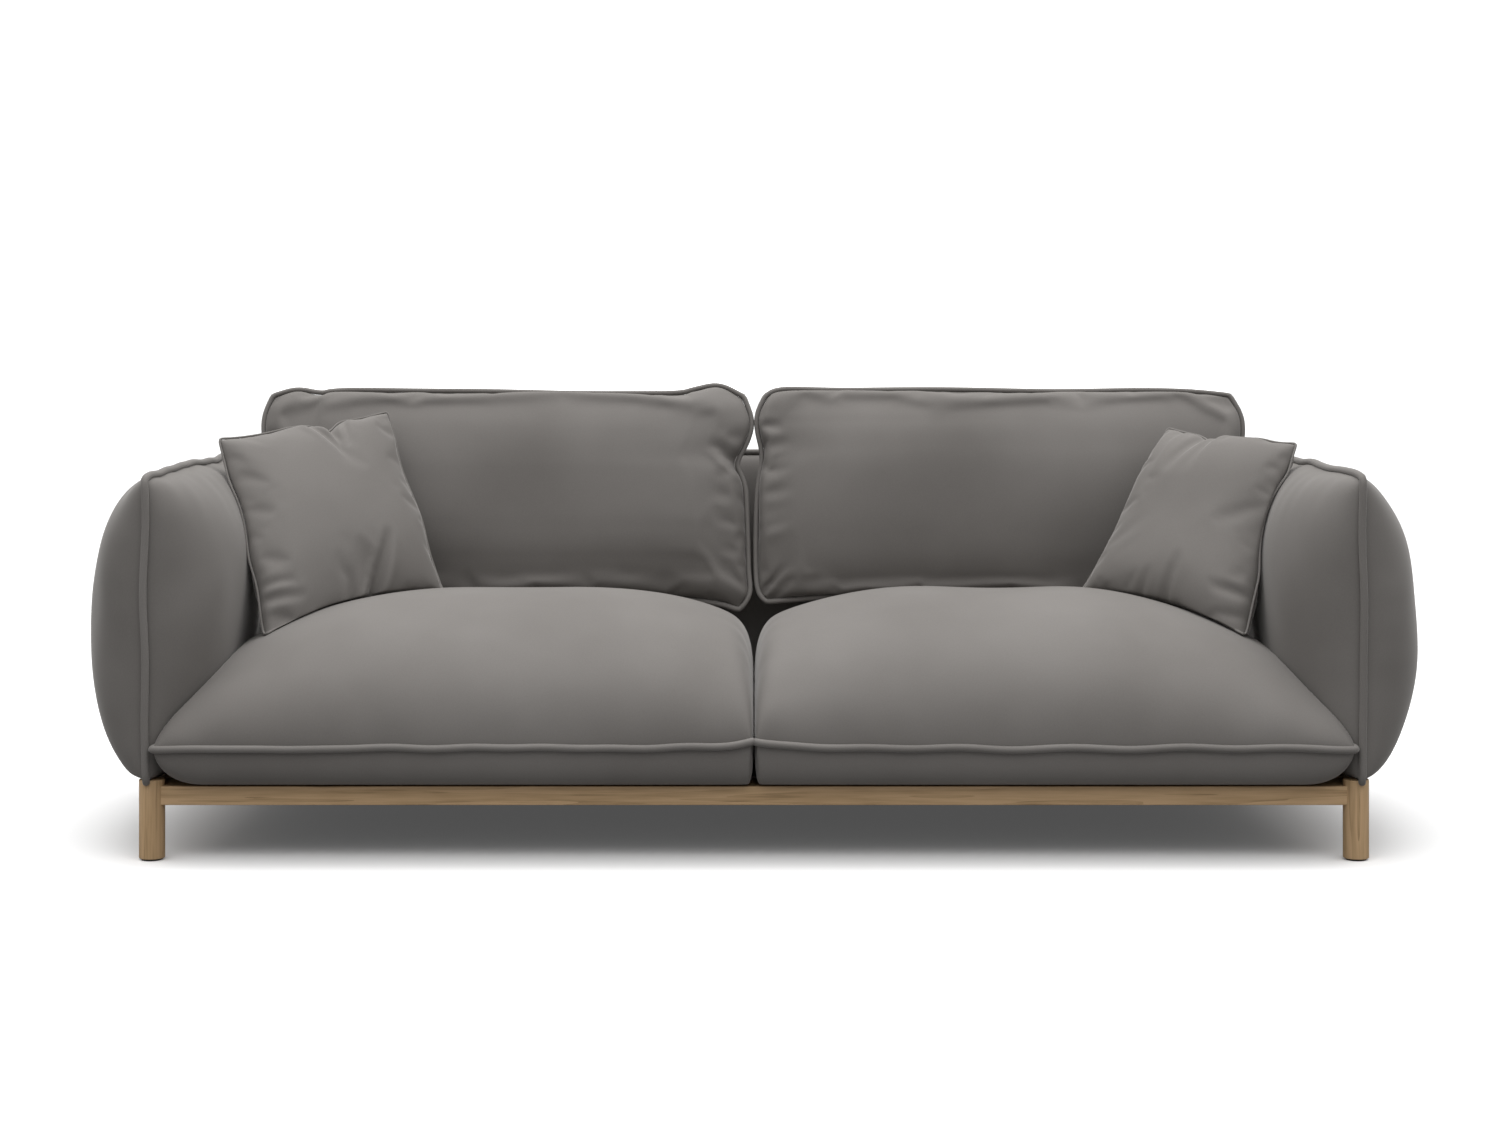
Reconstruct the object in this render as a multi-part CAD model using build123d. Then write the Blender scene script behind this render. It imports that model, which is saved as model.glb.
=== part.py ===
from build123d import *
import os
from math import cos, radians, sin

# A three-seat sofa: an oak base on four round legs, two pillow-like arms and a
# back pad with welted edges, two thick seat cushions, two back cushions and two
# throw pillows. Millimetres, +Z up, the front faces -Y, the origin is on the
# floor below the middle of the sofa. Left is -X, right is +X.

# ---------------------------------------------------------------- dimensions
GAP = 0.5                                   # space between pieces that do not touch
CLEAR = 1.5                                 # space between a loose cushion and a fixed pad

# oak base
LEG_RADIUS = 22.5
LEG_TOP = 141.0
LEG_X = 1056.0
FRONT_LEG_Y = -440.0
REAR_LEG_Y = 412.0
GLIDE_RADIUS = 18.0
GLIDE_HEIGHT = 3.0
GLIDE_PIN_RADIUS = 2.0
GLIDE_PIN_LENGTH = 12.0
RAIL_BOTTOM = 97.0
RAIL_TOP = 130.0
RAIL_DEPTH = 125.0
RAIL_PROUD = 13.0                           # the rail's face in front of the leg's axis
RAIL_MID_Z = (RAIL_BOTTOM + RAIL_TOP) / 2
SIDE_RAIL_WIDTH = 44.0
BEAM_HALF_WIDTH = 35.0
EDGE_ROUND = 1.5
DOWEL_RADIUS = 6.0
DOWEL_REACH = 30.0                          # into each piece that it joins
BEAM_DOWEL_SPACING = 18.0
HOLE_PLAY = 0.05
BRACKET_ARM = 50.0
BRACKET_HALF_HEIGHT = 10.0
BRACKET_SCREW_SHARES = (0.5, 0.85)          # along each flange, from the corner
BRACKET_THICK = 3.0
SCREW_RADIUS = 2.0
SCREW_HEAD_RADIUS = 4.0
SCREW_HEAD_HEIGHT = 2.0
SCREW_LENGTH = 20.0

# deck
STRAP_WIDTH = 60.0
STRAP_THICK = 2.2
STRAP_COUNT_LONG = 14
STRAP_PITCH_LONG = 145.0
CROSS_STRAP_YS = (-250.0, -100.0, 50.0, 200.0)
TACK_RADIUS = 4.0
TACK_HEIGHT = 0.8
DECK_PAD_THICK = 3.5
DECK_TOP = 138.5
DECK_PAD_HALF = 1015.0
DECK_PAD_FRONT_REACH = 10.0                 # how far the felt runs past the straps
DECK_PAD_BACK_SPACE = 12.0
DUST_COVER_THICK = 1.6
DUST_COVER_HALF = 1008.0
DUST_COVER_INSET = 5.0
STRAP_FRONT_INSET = 50.0                    # from the leg axes to the straps' ends
STRAP_BACK_INSET = 62.0
STRAP_SIDE_REACH = 10.0
TACK_INSET = 12.0
TACK_SPACING = 15.0

# arms: a pad standing on edge, crowned both ways from its welt plane
ARM_X = 1062.0
ARM_OUTER_CROWN = 160.0
ARM_RIM = 4.0                               # half the pad's thickness at its welt
ARM_INNER_CROWN = 116.0
ARM_FRONT = -468.0
ARM_BACK = 440.0
ARM_BOTTOM = 148.0
ARM_WIDEST_Z = 360.0
ARM_TOP = 672.0
COVER_WALL = 12.0
WELT_RADIUS = 6.5
ARM_CORNER = 20.0
BOARD_THICK = 25.0
ARM_BOARD_X = 1028.0
ARM_BOARD_INSET = 50.0                      # from the leg axes to the board
BOARD_BOTTOM = 172.0
BOARD_TOP = 600.0
ARM_BOLT_YS = (-355.0, -15.0, 325.0)
BOLT_RADIUS = 4.0
BOLT_HEAD_RADIUS = 6.5
BOLT_HEAD_HEIGHT = 5.0
BOLT_TOP = 215.0
BOLT_PLAY = 0.3
SPACER_RADIUS = 12.0
SPACER_TOP = 148.0

# back pad
BACK_HALF_WIDTH = 985.0
BACK_FRONT = 322.0
BACK_BOTTOM = 150.0
BACK_KNEE_Z = 430.0
BACK_BOARD_Y = 392.0
BACK_BOARD_HALF_WIDTH = 940.0
BACK_BOLT_XS = (-750.0, -250.0, 250.0, 750.0)
BACK_WELT_Y = 405.0
BACK_WELT_FOOT_Z = 170.0
BACK_WELT_CORNER = 15.0
BACK_TOP = 672.0

# seat cushions
SEAT_FRONT = -493.5
SEAT_BACK = 312.0
SEAT_BOTTOM = 139.0
SEAT_WELT_Z = 200.0
SEAT_CROWN_Z = 446.0
SEAT_REAR_Z = 372.0
SEAT_OUTER = 1056.0
ARM_WELT_CLEAR_X = 1053.0
ARM_WELT_CLEAR_Y = -477.0
CORE_X = (35.0, 900.0)
CORE_Y = (-395.0, 285.0)
CORE_Z = (165.0, 335.0)
CORE_ROUND = 20.0
ZIP_X = (120.0, 860.0)
ZIP_Z = (215.0, 235.0)
ZIP_THICK = 2.0
SLIDER_LENGTH = 14.0
SLIDER_START = 20.0                         # from the tape's end
SLIDER_HALF_WIDTH = 5.0
SLIDER_THICK = 4.0

# back cushions
LEAN = 12.0
CUSHION_FRONT_Y = 125.0
CUSHION_BOTTOM_Z = 414.0
CUSHION_THICK = 184.0
CUSHION_HEIGHT = 424.0
CUSHION_INNER = 2.0
CUSHION_OUTER = 985.0
CUSHION_WELT_RADIUS = 5.0
CUSHION_CORE_INSET = 35.0
CUSHION_CORE_OUTER = 885.0
CUSHION_CORE_TOP_SPACE = 10.0

# throw pillows
PILLOW_SIZE = 440.0
PILLOW_THICK = 130.0
PILLOW_CENTRE = (817.0, -12.0, 570.0)
PILLOW_ACROSS = (-0.758, 0.643, 0.085)      # along the pillow's lower edge, inwards
PILLOW_NORMAL = (-0.509, -0.689, 0.497)     # the way the pillow's front face looks
PILLOW_CORE_INSET = 45.0
PILLOW_CORE_THICK = 84.0
PILLOW_WALL = 10.0

parts = {}


# ------------------------------------------------------------------- helpers
def spread(span, amount):
    """The (low, high) pair with that much more at each end."""
    return span[0] - amount, span[1] + amount


def block(x, y, z):
    """A box from three (low, high) pairs."""
    size = [pair[1] - pair[0] for pair in (x, y, z)]
    middle = [(pair[1] + pair[0]) / 2 for pair in (x, y, z)]
    return Pos(*middle) * Box(*size)


def rod_z(x, y, low, high, radius):
    return Pos(x, y, (low + high) / 2) * Cylinder(radius, high - low)


def rod_x(low, high, y, z, radius):
    return Pos((low + high) / 2, y, z) * Rot(0, 90, 0) * Cylinder(radius, high - low)


def rod_y(x, low, high, z, radius):
    return Pos(x, (low + high) / 2, z) * Rot(90, 0, 0) * Cylinder(radius, high - low)


def across(shape):
    """The same shape on the other side of the sofa."""
    return mirror(shape, about=Plane.YZ)


def pair(name, right):
    """Right-hand piece and its mirror image, in two nodes."""
    parts[name + "_right"] = right
    parts[name + "_left"] = across(right)


def tube(wire, radius):
    """Round cord along a closed wire."""
    section = Plane(origin=wire @ 0, z_dir=wire % 0) * Circle(radius)
    return sweep(section, path=wire)


def profile_yz(face, x_low, x_high):
    """A (y, z) face made into a solid from x_low to x_high."""
    return Pos(x_low, 0, 0) * extrude(Plane.YZ * face, amount=x_high - x_low)


def profile_xz(face, reach=700.0):
    """An (x, z) face made into a solid that runs front to back."""
    return extrude(Plane.XZ * face, amount=reach, both=True)


# ------------------------------------------------------------------ oak base
def leg_at(x, y):
    leg = rod_z(x, y, GLIDE_HEIGHT, LEG_TOP, LEG_RADIUS)
    leg = fillet(leg.edges().filter_by(GeomType.CIRCLE), EDGE_ROUND)
    pin_top = GLIDE_HEIGHT + GLIDE_PIN_LENGTH
    return leg - rod_z(x, y, 0, pin_top, GLIDE_PIN_RADIUS + HOLE_PLAY)


def glide_at(x, y):
    disc = rod_z(x, y, 0, GLIDE_HEIGHT, GLIDE_RADIUS)
    pin = rod_z(x, y, GLIDE_HEIGHT - 1, GLIDE_HEIGHT + GLIDE_PIN_LENGTH - GAP, GLIDE_PIN_RADIUS)
    return disc + pin


def cross_rail(leg_y, inward):
    """Wide board between two legs, coped round them. inward is +1 or -1 along Y."""
    face = leg_y - inward * RAIL_PROUD
    edge = face + inward * RAIL_DEPTH
    low, high = min(face, edge), max(face, edge)
    rail = block((-LEG_X + 8, LEG_X - 8), (low, high), (RAIL_BOTTOM, RAIL_TOP))
    rail = fillet(rail.edges().filter_by(Axis.X), EDGE_ROUND)
    for side in (-1, 1):
        rail -= rod_z(side * LEG_X, leg_y, 0, LEG_TOP + 1, LEG_RADIUS + HOLE_PLAY)
        inner = LEG_X - SIDE_RAIL_WIDTH / 2 - HOLE_PLAY
        ends = sorted((side * inner, side * (LEG_X + LEG_RADIUS)))
        behind = sorted((leg_y + inward * (LEG_RADIUS - 4), leg_y + inward * RAIL_DEPTH))
        rail -= block(ends, behind, (RAIL_BOTTOM - 1, RAIL_TOP + 1))
    return rail


def dowel_runs():
    """Each dowel as (axis, low, high, fixed coordinate)."""
    runs = []
    end = LEG_X - SIDE_RAIL_WIDTH / 2
    for leg_y, inward in ((FRONT_LEG_Y, 1), (REAR_LEG_Y, -1)):
        for side in (-1, 1):
            low, high = sorted((side * (end - 40), side * (end + 17)))
            runs.append(("x", low, high, leg_y))
            low, high = sorted((leg_y + inward * 8.5, leg_y + inward * 60))
            runs.append(("y", low, high, side * LEG_X))
        edge = leg_y + inward * (RAIL_DEPTH - RAIL_PROUD)
        for x in (-BEAM_DOWEL_SPACING, BEAM_DOWEL_SPACING):
            runs.append(("y", edge - DOWEL_REACH, edge + DOWEL_REACH, x))
    return runs


def dowels(play=0.0):
    made = []
    for axis, low, high, fixed in dowel_runs():
        if axis == "x":
            made.append(rod_x(low - play, high + play, fixed, RAIL_MID_Z, DOWEL_RADIUS + play))
        else:
            made.append(rod_y(fixed, low - play, high + play, RAIL_MID_Z, DOWEL_RADIUS + play))
    return made


def bracket_and_screws(side, leg_y, inward):
    """Steel angle in the corner of two rails, with two screws in each flange."""
    corner_x = LEG_X - SIDE_RAIL_WIDTH / 2
    corner_y = leg_y + inward * (RAIL_DEPTH - RAIL_PROUD)
    low_z, high_z = spread((RAIL_MID_Z, RAIL_MID_Z), BRACKET_HALF_HEIGHT)
    xs = sorted((side * (corner_x - BRACKET_ARM), side * corner_x))
    ys = sorted((corner_y, corner_y + inward * BRACKET_THICK))
    plate = block(xs, ys, (low_z, high_z))
    xs = sorted((side * (corner_x - BRACKET_THICK), side * corner_x))
    ys = sorted((corner_y, corner_y + inward * BRACKET_ARM))
    plate += block(xs, ys, (low_z, high_z))
    screws = []
    for step in BRACKET_SCREW_SHARES:
        x = side * (corner_x - BRACKET_ARM * step)
        face = corner_y + inward * BRACKET_THICK
        head = sorted((face, face + inward * SCREW_HEAD_HEIGHT))
        shank = sorted((face + inward * 1, face - inward * SCREW_LENGTH))
        screws.append(
            rod_y(x, *head, RAIL_MID_Z, SCREW_HEAD_RADIUS) + rod_y(x, *shank, RAIL_MID_Z, SCREW_RADIUS)
        )
        y = corner_y + inward * BRACKET_ARM * step
        face = corner_x - BRACKET_THICK
        head = sorted((side * face, side * (face - SCREW_HEAD_HEIGHT)))
        shank = sorted((side * (face - 1), side * (face + SCREW_LENGTH)))
        screws.append(
            rod_x(*head, y, RAIL_MID_Z, SCREW_HEAD_RADIUS) + rod_x(*shank, y, RAIL_MID_Z, SCREW_RADIUS)
        )
    return plate, screws


def arm_bolt(x, y, play=0.0):
    shank = rod_z(x, y, RAIL_BOTTOM - 1, BOLT_TOP + play, BOLT_RADIUS + play)
    if play:
        return shank
    return shank + rod_z(x, y, RAIL_BOTTOM - BOLT_HEAD_HEIGHT, RAIL_BOTTOM, BOLT_HEAD_RADIUS)


def spacer_at(x, y):
    ring = rod_z(x, y, RAIL_TOP, SPACER_TOP, SPACER_RADIUS)
    return ring - rod_z(x, y, RAIL_TOP - 1, SPACER_TOP + 1, BOLT_RADIUS + BOLT_PLAY)


def make_base():
    corners = [(s, y, inward) for s in (-1, 1) for y, inward in ((FRONT_LEG_Y, 1), (REAR_LEG_Y, -1))]
    holes = dowels(HOLE_PLAY)
    brackets, screws = [], []
    for side, leg_y, inward in corners:
        plate, fixings = bracket_and_screws(side, leg_y, inward)
        brackets.append(plate)
        screws += fixings
    back_bolts = [arm_bolt(x, BACK_BOARD_Y + BOARD_THICK / 2) for x in BACK_BOLT_XS]
    back_bores = [arm_bolt(x, BACK_BOARD_Y + BOARD_THICK / 2, BOLT_PLAY) for x in BACK_BOLT_XS]
    arm_line = ARM_BOARD_X + BOARD_THICK / 2
    arm_bolts = [arm_bolt(s * arm_line, y) for s in (-1, 1) for y in ARM_BOLT_YS]
    arm_bores = [arm_bolt(s * arm_line, y, BOLT_PLAY) for s in (-1, 1) for y in ARM_BOLT_YS]

    for side, leg_y, inward in corners:
        place = ("rear" if leg_y > 0 else "front") + ("_right" if side > 0 else "_left")
        leg = leg_at(side * LEG_X, leg_y)
        for hole in holes:
            leg -= hole
        parts["leg_" + place] = leg
    rails = {
        "front_rail": cross_rail(FRONT_LEG_Y, 1),
        "rear_rail": cross_rail(REAR_LEG_Y, -1),
        "centre_beam": block(
            (-BEAM_HALF_WIDTH, BEAM_HALF_WIDTH),
            (FRONT_LEG_Y + RAIL_DEPTH - RAIL_PROUD, REAR_LEG_Y - RAIL_DEPTH + RAIL_PROUD),
            (RAIL_BOTTOM, RAIL_TOP),
        ),
    }
    half = SIDE_RAIL_WIDTH / 2
    run = (FRONT_LEG_Y + LEG_RADIUS + HOLE_PLAY, REAR_LEG_Y - LEG_RADIUS - HOLE_PLAY)
    for side, name in ((-1, "side_rail_left"), (1, "side_rail_right")):
        rails[name] = block((side * LEG_X - half, side * LEG_X + half), run, (RAIL_BOTTOM, RAIL_TOP))
    for name, rail in rails.items():
        for tool in holes + screws + arm_bores + back_bores:
            rail -= tool
        parts[name] = rail
    brackets = [plate - screws for plate in brackets]
    parts["leg_glides"] = Compound(children=[glide_at(s * LEG_X, y) for s, y, _ in corners])
    parts["rail_dowels"] = Compound(children=dowels())
    parts["corner_brackets"] = Compound(children=brackets)
    parts["bracket_screws"] = Compound(children=screws)
    parts["arm_bolts"] = Compound(children=arm_bolts)
    parts["back_bolts"] = Compound(children=back_bolts)
    parts["arm_spacers"] = Compound(
        children=[spacer_at(s * arm_line, y) for s in (-1, 1) for y in ARM_BOLT_YS]
    )
    parts["back_spacers"] = Compound(
        children=[spacer_at(x, BACK_BOARD_Y + BOARD_THICK / 2) for x in BACK_BOLT_XS]
    )


# ---------------------------------------------------------------------- deck
def make_deck():
    low, high = FRONT_LEG_Y + STRAP_FRONT_INSET, REAR_LEG_Y - STRAP_BACK_INSET
    level = (RAIL_TOP, RAIL_TOP + STRAP_THICK)
    upper = (level[1], level[1] + STRAP_THICK)
    half = STRAP_WIDTH / 2
    lengthwise, crosswise, tacks = [], [], []
    for index in range(STRAP_COUNT_LONG):
        x = (index - (STRAP_COUNT_LONG - 1) / 2) * STRAP_PITCH_LONG
        lengthwise.append(block((x - half, x + half), (low, high), level))
        for y in (low + TACK_INSET, high - TACK_INSET):
            for shift in (-TACK_SPACING, TACK_SPACING):
                tacks.append(rod_z(x + shift, y, level[1], level[1] + TACK_HEIGHT, TACK_RADIUS))
    reach = LEG_X + STRAP_SIDE_REACH
    for y in CROSS_STRAP_YS:
        crosswise.append(block((-reach, reach), (y - half, y + half), upper))
        for x in (-reach + TACK_INSET, reach - TACK_INSET):
            for shift in (-TACK_SPACING, TACK_SPACING):
                tacks.append(rod_z(x, y + shift, upper[1], upper[1] + TACK_HEIGHT, TACK_RADIUS))
    parts["webbing_front_to_back"] = Compound(children=lengthwise)
    parts["webbing_side_to_side"] = Compound(children=crosswise)
    parts["webbing_tacks"] = Compound(children=tacks)
    parts["deck_pad"] = block(
        (-DECK_PAD_HALF, DECK_PAD_HALF),
        (low - DECK_PAD_FRONT_REACH, BACK_FRONT - DECK_PAD_BACK_SPACE),
        (DECK_TOP - DECK_PAD_THICK, DECK_TOP),
    )
    cover = block(
        (-DUST_COVER_HALF, DUST_COVER_HALF),
        (FRONT_LEG_Y + DUST_COVER_INSET, REAR_LEG_Y - DUST_COVER_INSET),
        (RAIL_BOTTOM - DUST_COVER_THICK, RAIL_BOTTOM),
    )
    for x in BACK_BOLT_XS:
        cover -= rod_z(x, BACK_BOARD_Y + BOARD_THICK / 2, 0, RAIL_TOP, BOLT_HEAD_RADIUS + GAP)
    parts["dust_cover"] = cover


# ---------------------------------------------------------------------- arms
def crown_quarter(rim, crown, run, flip=1):
    """Two arcs from a pad's rim to its widest place: from (rim, run) to (crown, 0).
    flip of -1 makes the same quarter on the other side of the rim's plane."""
    points = [(rim, 1.0), (0.5625 * crown, 0.86), (0.875 * crown, 0.56), (0.979 * crown, 0.28), (crown, 0.0)]
    placed = [(flip * width, share * run) for width, share in points]
    return [ThreePointArc(*placed[0:3]), ThreePointArc(*placed[2:5])]


def crown_outline(inner, outer, below, above):
    """Closed outline of a pad about its rim's plane, widest on the x axis. It has a
    narrow flat at each end of the rim."""
    edges = []
    for crown, flip in ((outer, 1), (inner, -1)):
        for run in (-below, above):
            edges += crown_quarter(ARM_RIM, crown, run, flip)
    edges.append(Line((-ARM_RIM, -below), (ARM_RIM, -below)))
    edges.append(Line((-ARM_RIM, above), (ARM_RIM, above)))
    return make_face(edges)


def arm_pad(grow=0.0, straight_back=False):
    """Pad crowned in plan and in front view. With straight_back its inner side does
    not draw in again behind the widest place, so a cushion cut by it can slide out."""
    half = (ARM_BACK - ARM_FRONT) / 2
    middle = (ARM_BACK + ARM_FRONT) / 2
    plan = crown_outline(ARM_INNER_CROWN, ARM_OUTER_CROWN, half, half)
    if straight_back:
        plan += Pos(-ARM_INNER_CROWN / 2, 300) * Rectangle(ARM_INNER_CROWN, 600)
    front = crown_outline(
        ARM_INNER_CROWN, ARM_OUTER_CROWN, ARM_WIDEST_Z - ARM_BOTTOM, ARM_TOP - ARM_WIDEST_Z
    )
    if grow:
        plan = offset(plan, amount=grow)
        front = offset(front, amount=grow)
    plan = Pos(ARM_X, middle) * plan
    front = Pos(ARM_X, ARM_WIDEST_Z) * front
    return extrude(plan, amount=900) & profile_xz(front)


def make_arms():
    board_x = (ARM_BOARD_X, ARM_BOARD_X + BOARD_THICK)
    board_y = (FRONT_LEG_Y + ARM_BOARD_INSET, REAR_LEG_Y - ARM_BOARD_INSET)
    board_z = (BOARD_BOTTOM, BOARD_TOP)
    board = block(board_x, board_y, board_z)
    slot = block(spread(board_x, GAP), spread(board_y, GAP), spread(board_z, GAP))
    cover = arm_pad() - arm_pad(-COVER_WALL)
    foam = arm_pad(-COVER_WALL - GAP) - slot
    for y in ARM_BOLT_YS:
        bore = arm_bolt(ARM_BOARD_X + BOARD_THICK / 2, y, BOLT_PLAY)
        cover -= bore
        foam -= bore
        board -= bore
    edge = Plane.YZ.offset(ARM_X) * RectangleRounded(
        ARM_BACK - ARM_FRONT, ARM_TOP - ARM_BOTTOM, ARM_CORNER
    )
    centre = Pos(0, (ARM_BACK + ARM_FRONT) / 2, (ARM_TOP + ARM_BOTTOM) / 2)
    pair("arm_board", board)
    pair("arm_foam", foam)
    pair("arm_cover", cover)
    pair("arm_welt", tube((centre * edge).wire(), WELT_RADIUS))


# ---------------------------------------------------------------------- back
def back_profile(inset=0.0):
    """Upright pad with a leaning upper front and a rounded back, as a (y, z) face."""
    face = make_face(
        [
            Polyline(
                (440, BACK_BOTTOM), (BACK_FRONT, BACK_BOTTOM), (BACK_FRONT, BACK_KNEE_Z), (369, 650)
            ),
            ThreePointArc((369, 650), (400, BACK_TOP), (438, 655)),
            ThreePointArc((438, 655), (500, 400), (440, BACK_BOTTOM)),
        ]
    )
    return offset(face, amount=-inset) if inset else face


def back_pad(inset=0.0):
    half = BACK_HALF_WIDTH - inset
    pad = profile_yz(back_profile(inset), -half, half)
    tool = arm_pad(CLEAR + inset)
    return pad - tool - across(tool)


def make_back():
    span = (-BACK_BOARD_HALF_WIDTH, BACK_BOARD_HALF_WIDTH)
    depth = (BACK_BOARD_Y, BACK_BOARD_Y + BOARD_THICK)
    board = block(span, depth, (BOARD_BOTTOM, BOARD_TOP))
    slot = block(spread(span, GAP), spread(depth, GAP), spread((BOARD_BOTTOM, BOARD_TOP), GAP))
    cover = back_pad() - back_pad(COVER_WALL)
    foam = back_pad(COVER_WALL + GAP) - slot
    for x in BACK_BOLT_XS:
        bore = arm_bolt(x, BACK_BOARD_Y + BOARD_THICK / 2, BOLT_PLAY)
        cover -= bore
        foam -= bore
        board -= bore
    path = FilletPolyline(
        (-BACK_HALF_WIDTH, BACK_WELT_FOOT_Z),
        (-BACK_HALF_WIDTH, BACK_TOP),
        (BACK_HALF_WIDTH, BACK_TOP),
        (BACK_HALF_WIDTH, BACK_WELT_FOOT_Z),
        radius=BACK_WELT_CORNER,
    )
    parts["back_board"] = board
    parts["back_foam"] = foam
    parts["back_cover"] = cover
    parts["back_welt"] = tube((Plane.XZ.offset(-BACK_WELT_Y) * path).wire(), WELT_RADIUS)


# ------------------------------------------------------------- seat cushions
def seat_body():
    side = make_face(
        [
            ThreePointArc((SEAT_FRONT, SEAT_WELT_Z), (-477, 158), (-425, SEAT_BOTTOM)),
            Polyline(
                (-425, SEAT_BOTTOM), (SEAT_BACK, SEAT_BOTTOM), (SEAT_BACK, SEAT_REAR_Z), (60, 424)
            ),
            ThreePointArc((60, 424), (-150, SEAT_CROWN_Z), (-330, 412)),
            ThreePointArc((-330, 412), (-450, 318), (SEAT_FRONT, SEAT_WELT_Z)),
        ]
    )
    top = SEAT_CROWN_Z + 4
    front = make_face(
        [
            Line((GAP, SEAT_BOTTOM), (GAP, 345)),
            ThreePointArc((GAP, 345), (30, 420), (105, top)),
            Line((105, top), (700, top)),
            ThreePointArc((700, top), (845, 424), (950, 345)),
            Line((950, 345), (SEAT_OUTER, SEAT_WELT_Z + 8)),
            Line((SEAT_OUTER, SEAT_WELT_Z + 8), (SEAT_OUTER, SEAT_WELT_Z - 8)),
            ThreePointArc((SEAT_OUTER, SEAT_WELT_Z - 8), (1036, 158), (985, SEAT_BOTTOM)),
            Line((985, SEAT_BOTTOM), (GAP, SEAT_BOTTOM)),
        ]
    )
    body = profile_yz(side, 0, SEAT_OUTER + 10) & profile_xz(front)
    body -= block((ARM_WELT_CLEAR_X, 1100), (ARM_WELT_CLEAR_Y, 400), (100, 500))
    return body - arm_pad(CLEAR, straight_back=True)


def make_seats(body):
    core = block(CORE_X, CORE_Y, CORE_Z)
    core = fillet(core.edges(), CORE_ROUND)
    room = block(spread(CORE_X, GAP), spread(CORE_Y, GAP), spread(CORE_Z, GAP))
    inner = GAP + WELT_RADIUS
    path = FilletPolyline(
        (inner, SEAT_FRONT),
        (1044, SEAT_FRONT),
        (998, -446),
        (962, -350),
        (962, SEAT_BACK - WELT_RADIUS),
        (inner, SEAT_BACK - WELT_RADIUS),
        radius=[20, 14, 40, 60, 30, 20],
        close=True,
    )
    welt = Pos(0, 0, SEAT_WELT_Z) * path
    tape = block(ZIP_X, (SEAT_BACK, SEAT_BACK + ZIP_THICK), ZIP_Z)
    middle = (ZIP_Z[0] + ZIP_Z[1]) / 2
    back = SEAT_BACK + ZIP_THICK + GAP
    start = ZIP_X[0] + SLIDER_START
    slider_z = spread((middle, middle), SLIDER_HALF_WIDTH)
    slider = block((start, start + SLIDER_LENGTH), (back, back + SLIDER_THICK), slider_z)
    pair("seat_cover", body - room)
    pair("seat_core", core)
    pair("seat_welt", tube(welt.wire(), WELT_RADIUS))
    pair("seat_zip_tape", tape)
    pair("seat_zip_slider", slider)


# ------------------------------------------------------------- back cushions
def leaned(shape):
    """From upright, with the lower front edge on the origin, to its place on the seat."""
    return Pos(0, CUSHION_FRONT_Y, CUSHION_BOTTOM_Z) * Rot(-LEAN, 0, 0) * shape


def cushion_outline(inset=0.0):
    """Front view of the right cushion: it draws in where the arm bulges."""
    face = make_face(
        FilletPolyline(
            (CUSHION_INNER, 0),
            (935, 0),
            (938, 57),
            (951, 139),
            (966, 230),
            (CUSHION_OUTER, 300),
            (CUSHION_OUTER, CUSHION_HEIGHT),
            (CUSHION_INNER, CUSHION_HEIGHT),
            radius=[45, 35, 60, 60, 60, 60, 60, 60],
            close=True,
        )
    )
    return offset(face, amount=-inset) if inset else face


def make_back_cushions():
    side = FilletPolyline(
        (0, 0),
        (CUSHION_THICK, 0),
        (CUSHION_THICK, CUSHION_HEIGHT),
        (0, CUSHION_HEIGHT),
        radius=[45, 45, 85, 85],
        close=True,
    )
    body = profile_yz(make_face(side), 0, CUSHION_OUTER + 10) & profile_xz(cushion_outline())
    inset = CUSHION_CORE_INSET
    core_x = (inset, CUSHION_CORE_OUTER)
    core_y = (inset, CUSHION_THICK - inset)
    core_z = (inset, CUSHION_HEIGHT - inset - CUSHION_CORE_TOP_SPACE)
    core = fillet(block(core_x, core_y, core_z).edges(), CORE_ROUND)
    room = block(spread(core_x, GAP), spread(core_y, GAP), spread(core_z, GAP))
    edge = Plane.XZ.offset(-CUSHION_THICK / 2) * cushion_outline(CUSHION_WELT_RADIUS)
    pair("back_cushion_cover", leaned(body - room))
    pair("back_cushion_core", leaned(core))
    pair("back_cushion_welt", leaned(tube(edge.face().outer_wire(), CUSHION_WELT_RADIUS)))


# -------------------------------------------------------------- throw pillows
def pillow_blank(size, thick):
    """Square pillow, crowned to a knife edge all round, lying in the XY plane."""
    half, crown = size / 2, thick / 2
    lens = make_face([Ellipse(half, crown).wire()])
    one = extrude(Plane.XZ * lens, amount=half, both=True)
    other = extrude(Plane.YZ * lens, amount=half, both=True)
    return one & other


def make_pillows(seat):
    place = Plane(origin=PILLOW_CENTRE, x_dir=PILLOW_ACROSS, z_dir=PILLOW_NORMAL).location

    def rested(size, thick, space):
        """The blank in its place, flat where the arm, seat and back cushion press on it."""
        blank = place * pillow_blank(size, thick)
        blank -= arm_pad(CLEAR + space, straight_back=True)
        blank -= Pos(0, 0, space) * seat
        return blank - leaned(block((0, 1100), (-space, 400), (-300, 1000)))

    core_size = PILLOW_SIZE - 2 * PILLOW_CORE_INSET
    room = rested(core_size + 2 * GAP, PILLOW_CORE_THICK + 2 * GAP, PILLOW_WALL - GAP)
    pair("pillow_cover", rested(PILLOW_SIZE, PILLOW_THICK, CLEAR) - room)
    pair("pillow_insert", rested(core_size, PILLOW_CORE_THICK, PILLOW_WALL))


# ---------------------------------------------------------------------- write
make_base()
make_deck()
make_arms()
make_back()
seat = seat_body()
make_seats(seat)
make_back_cushions()
make_pillows(seat)

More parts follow.
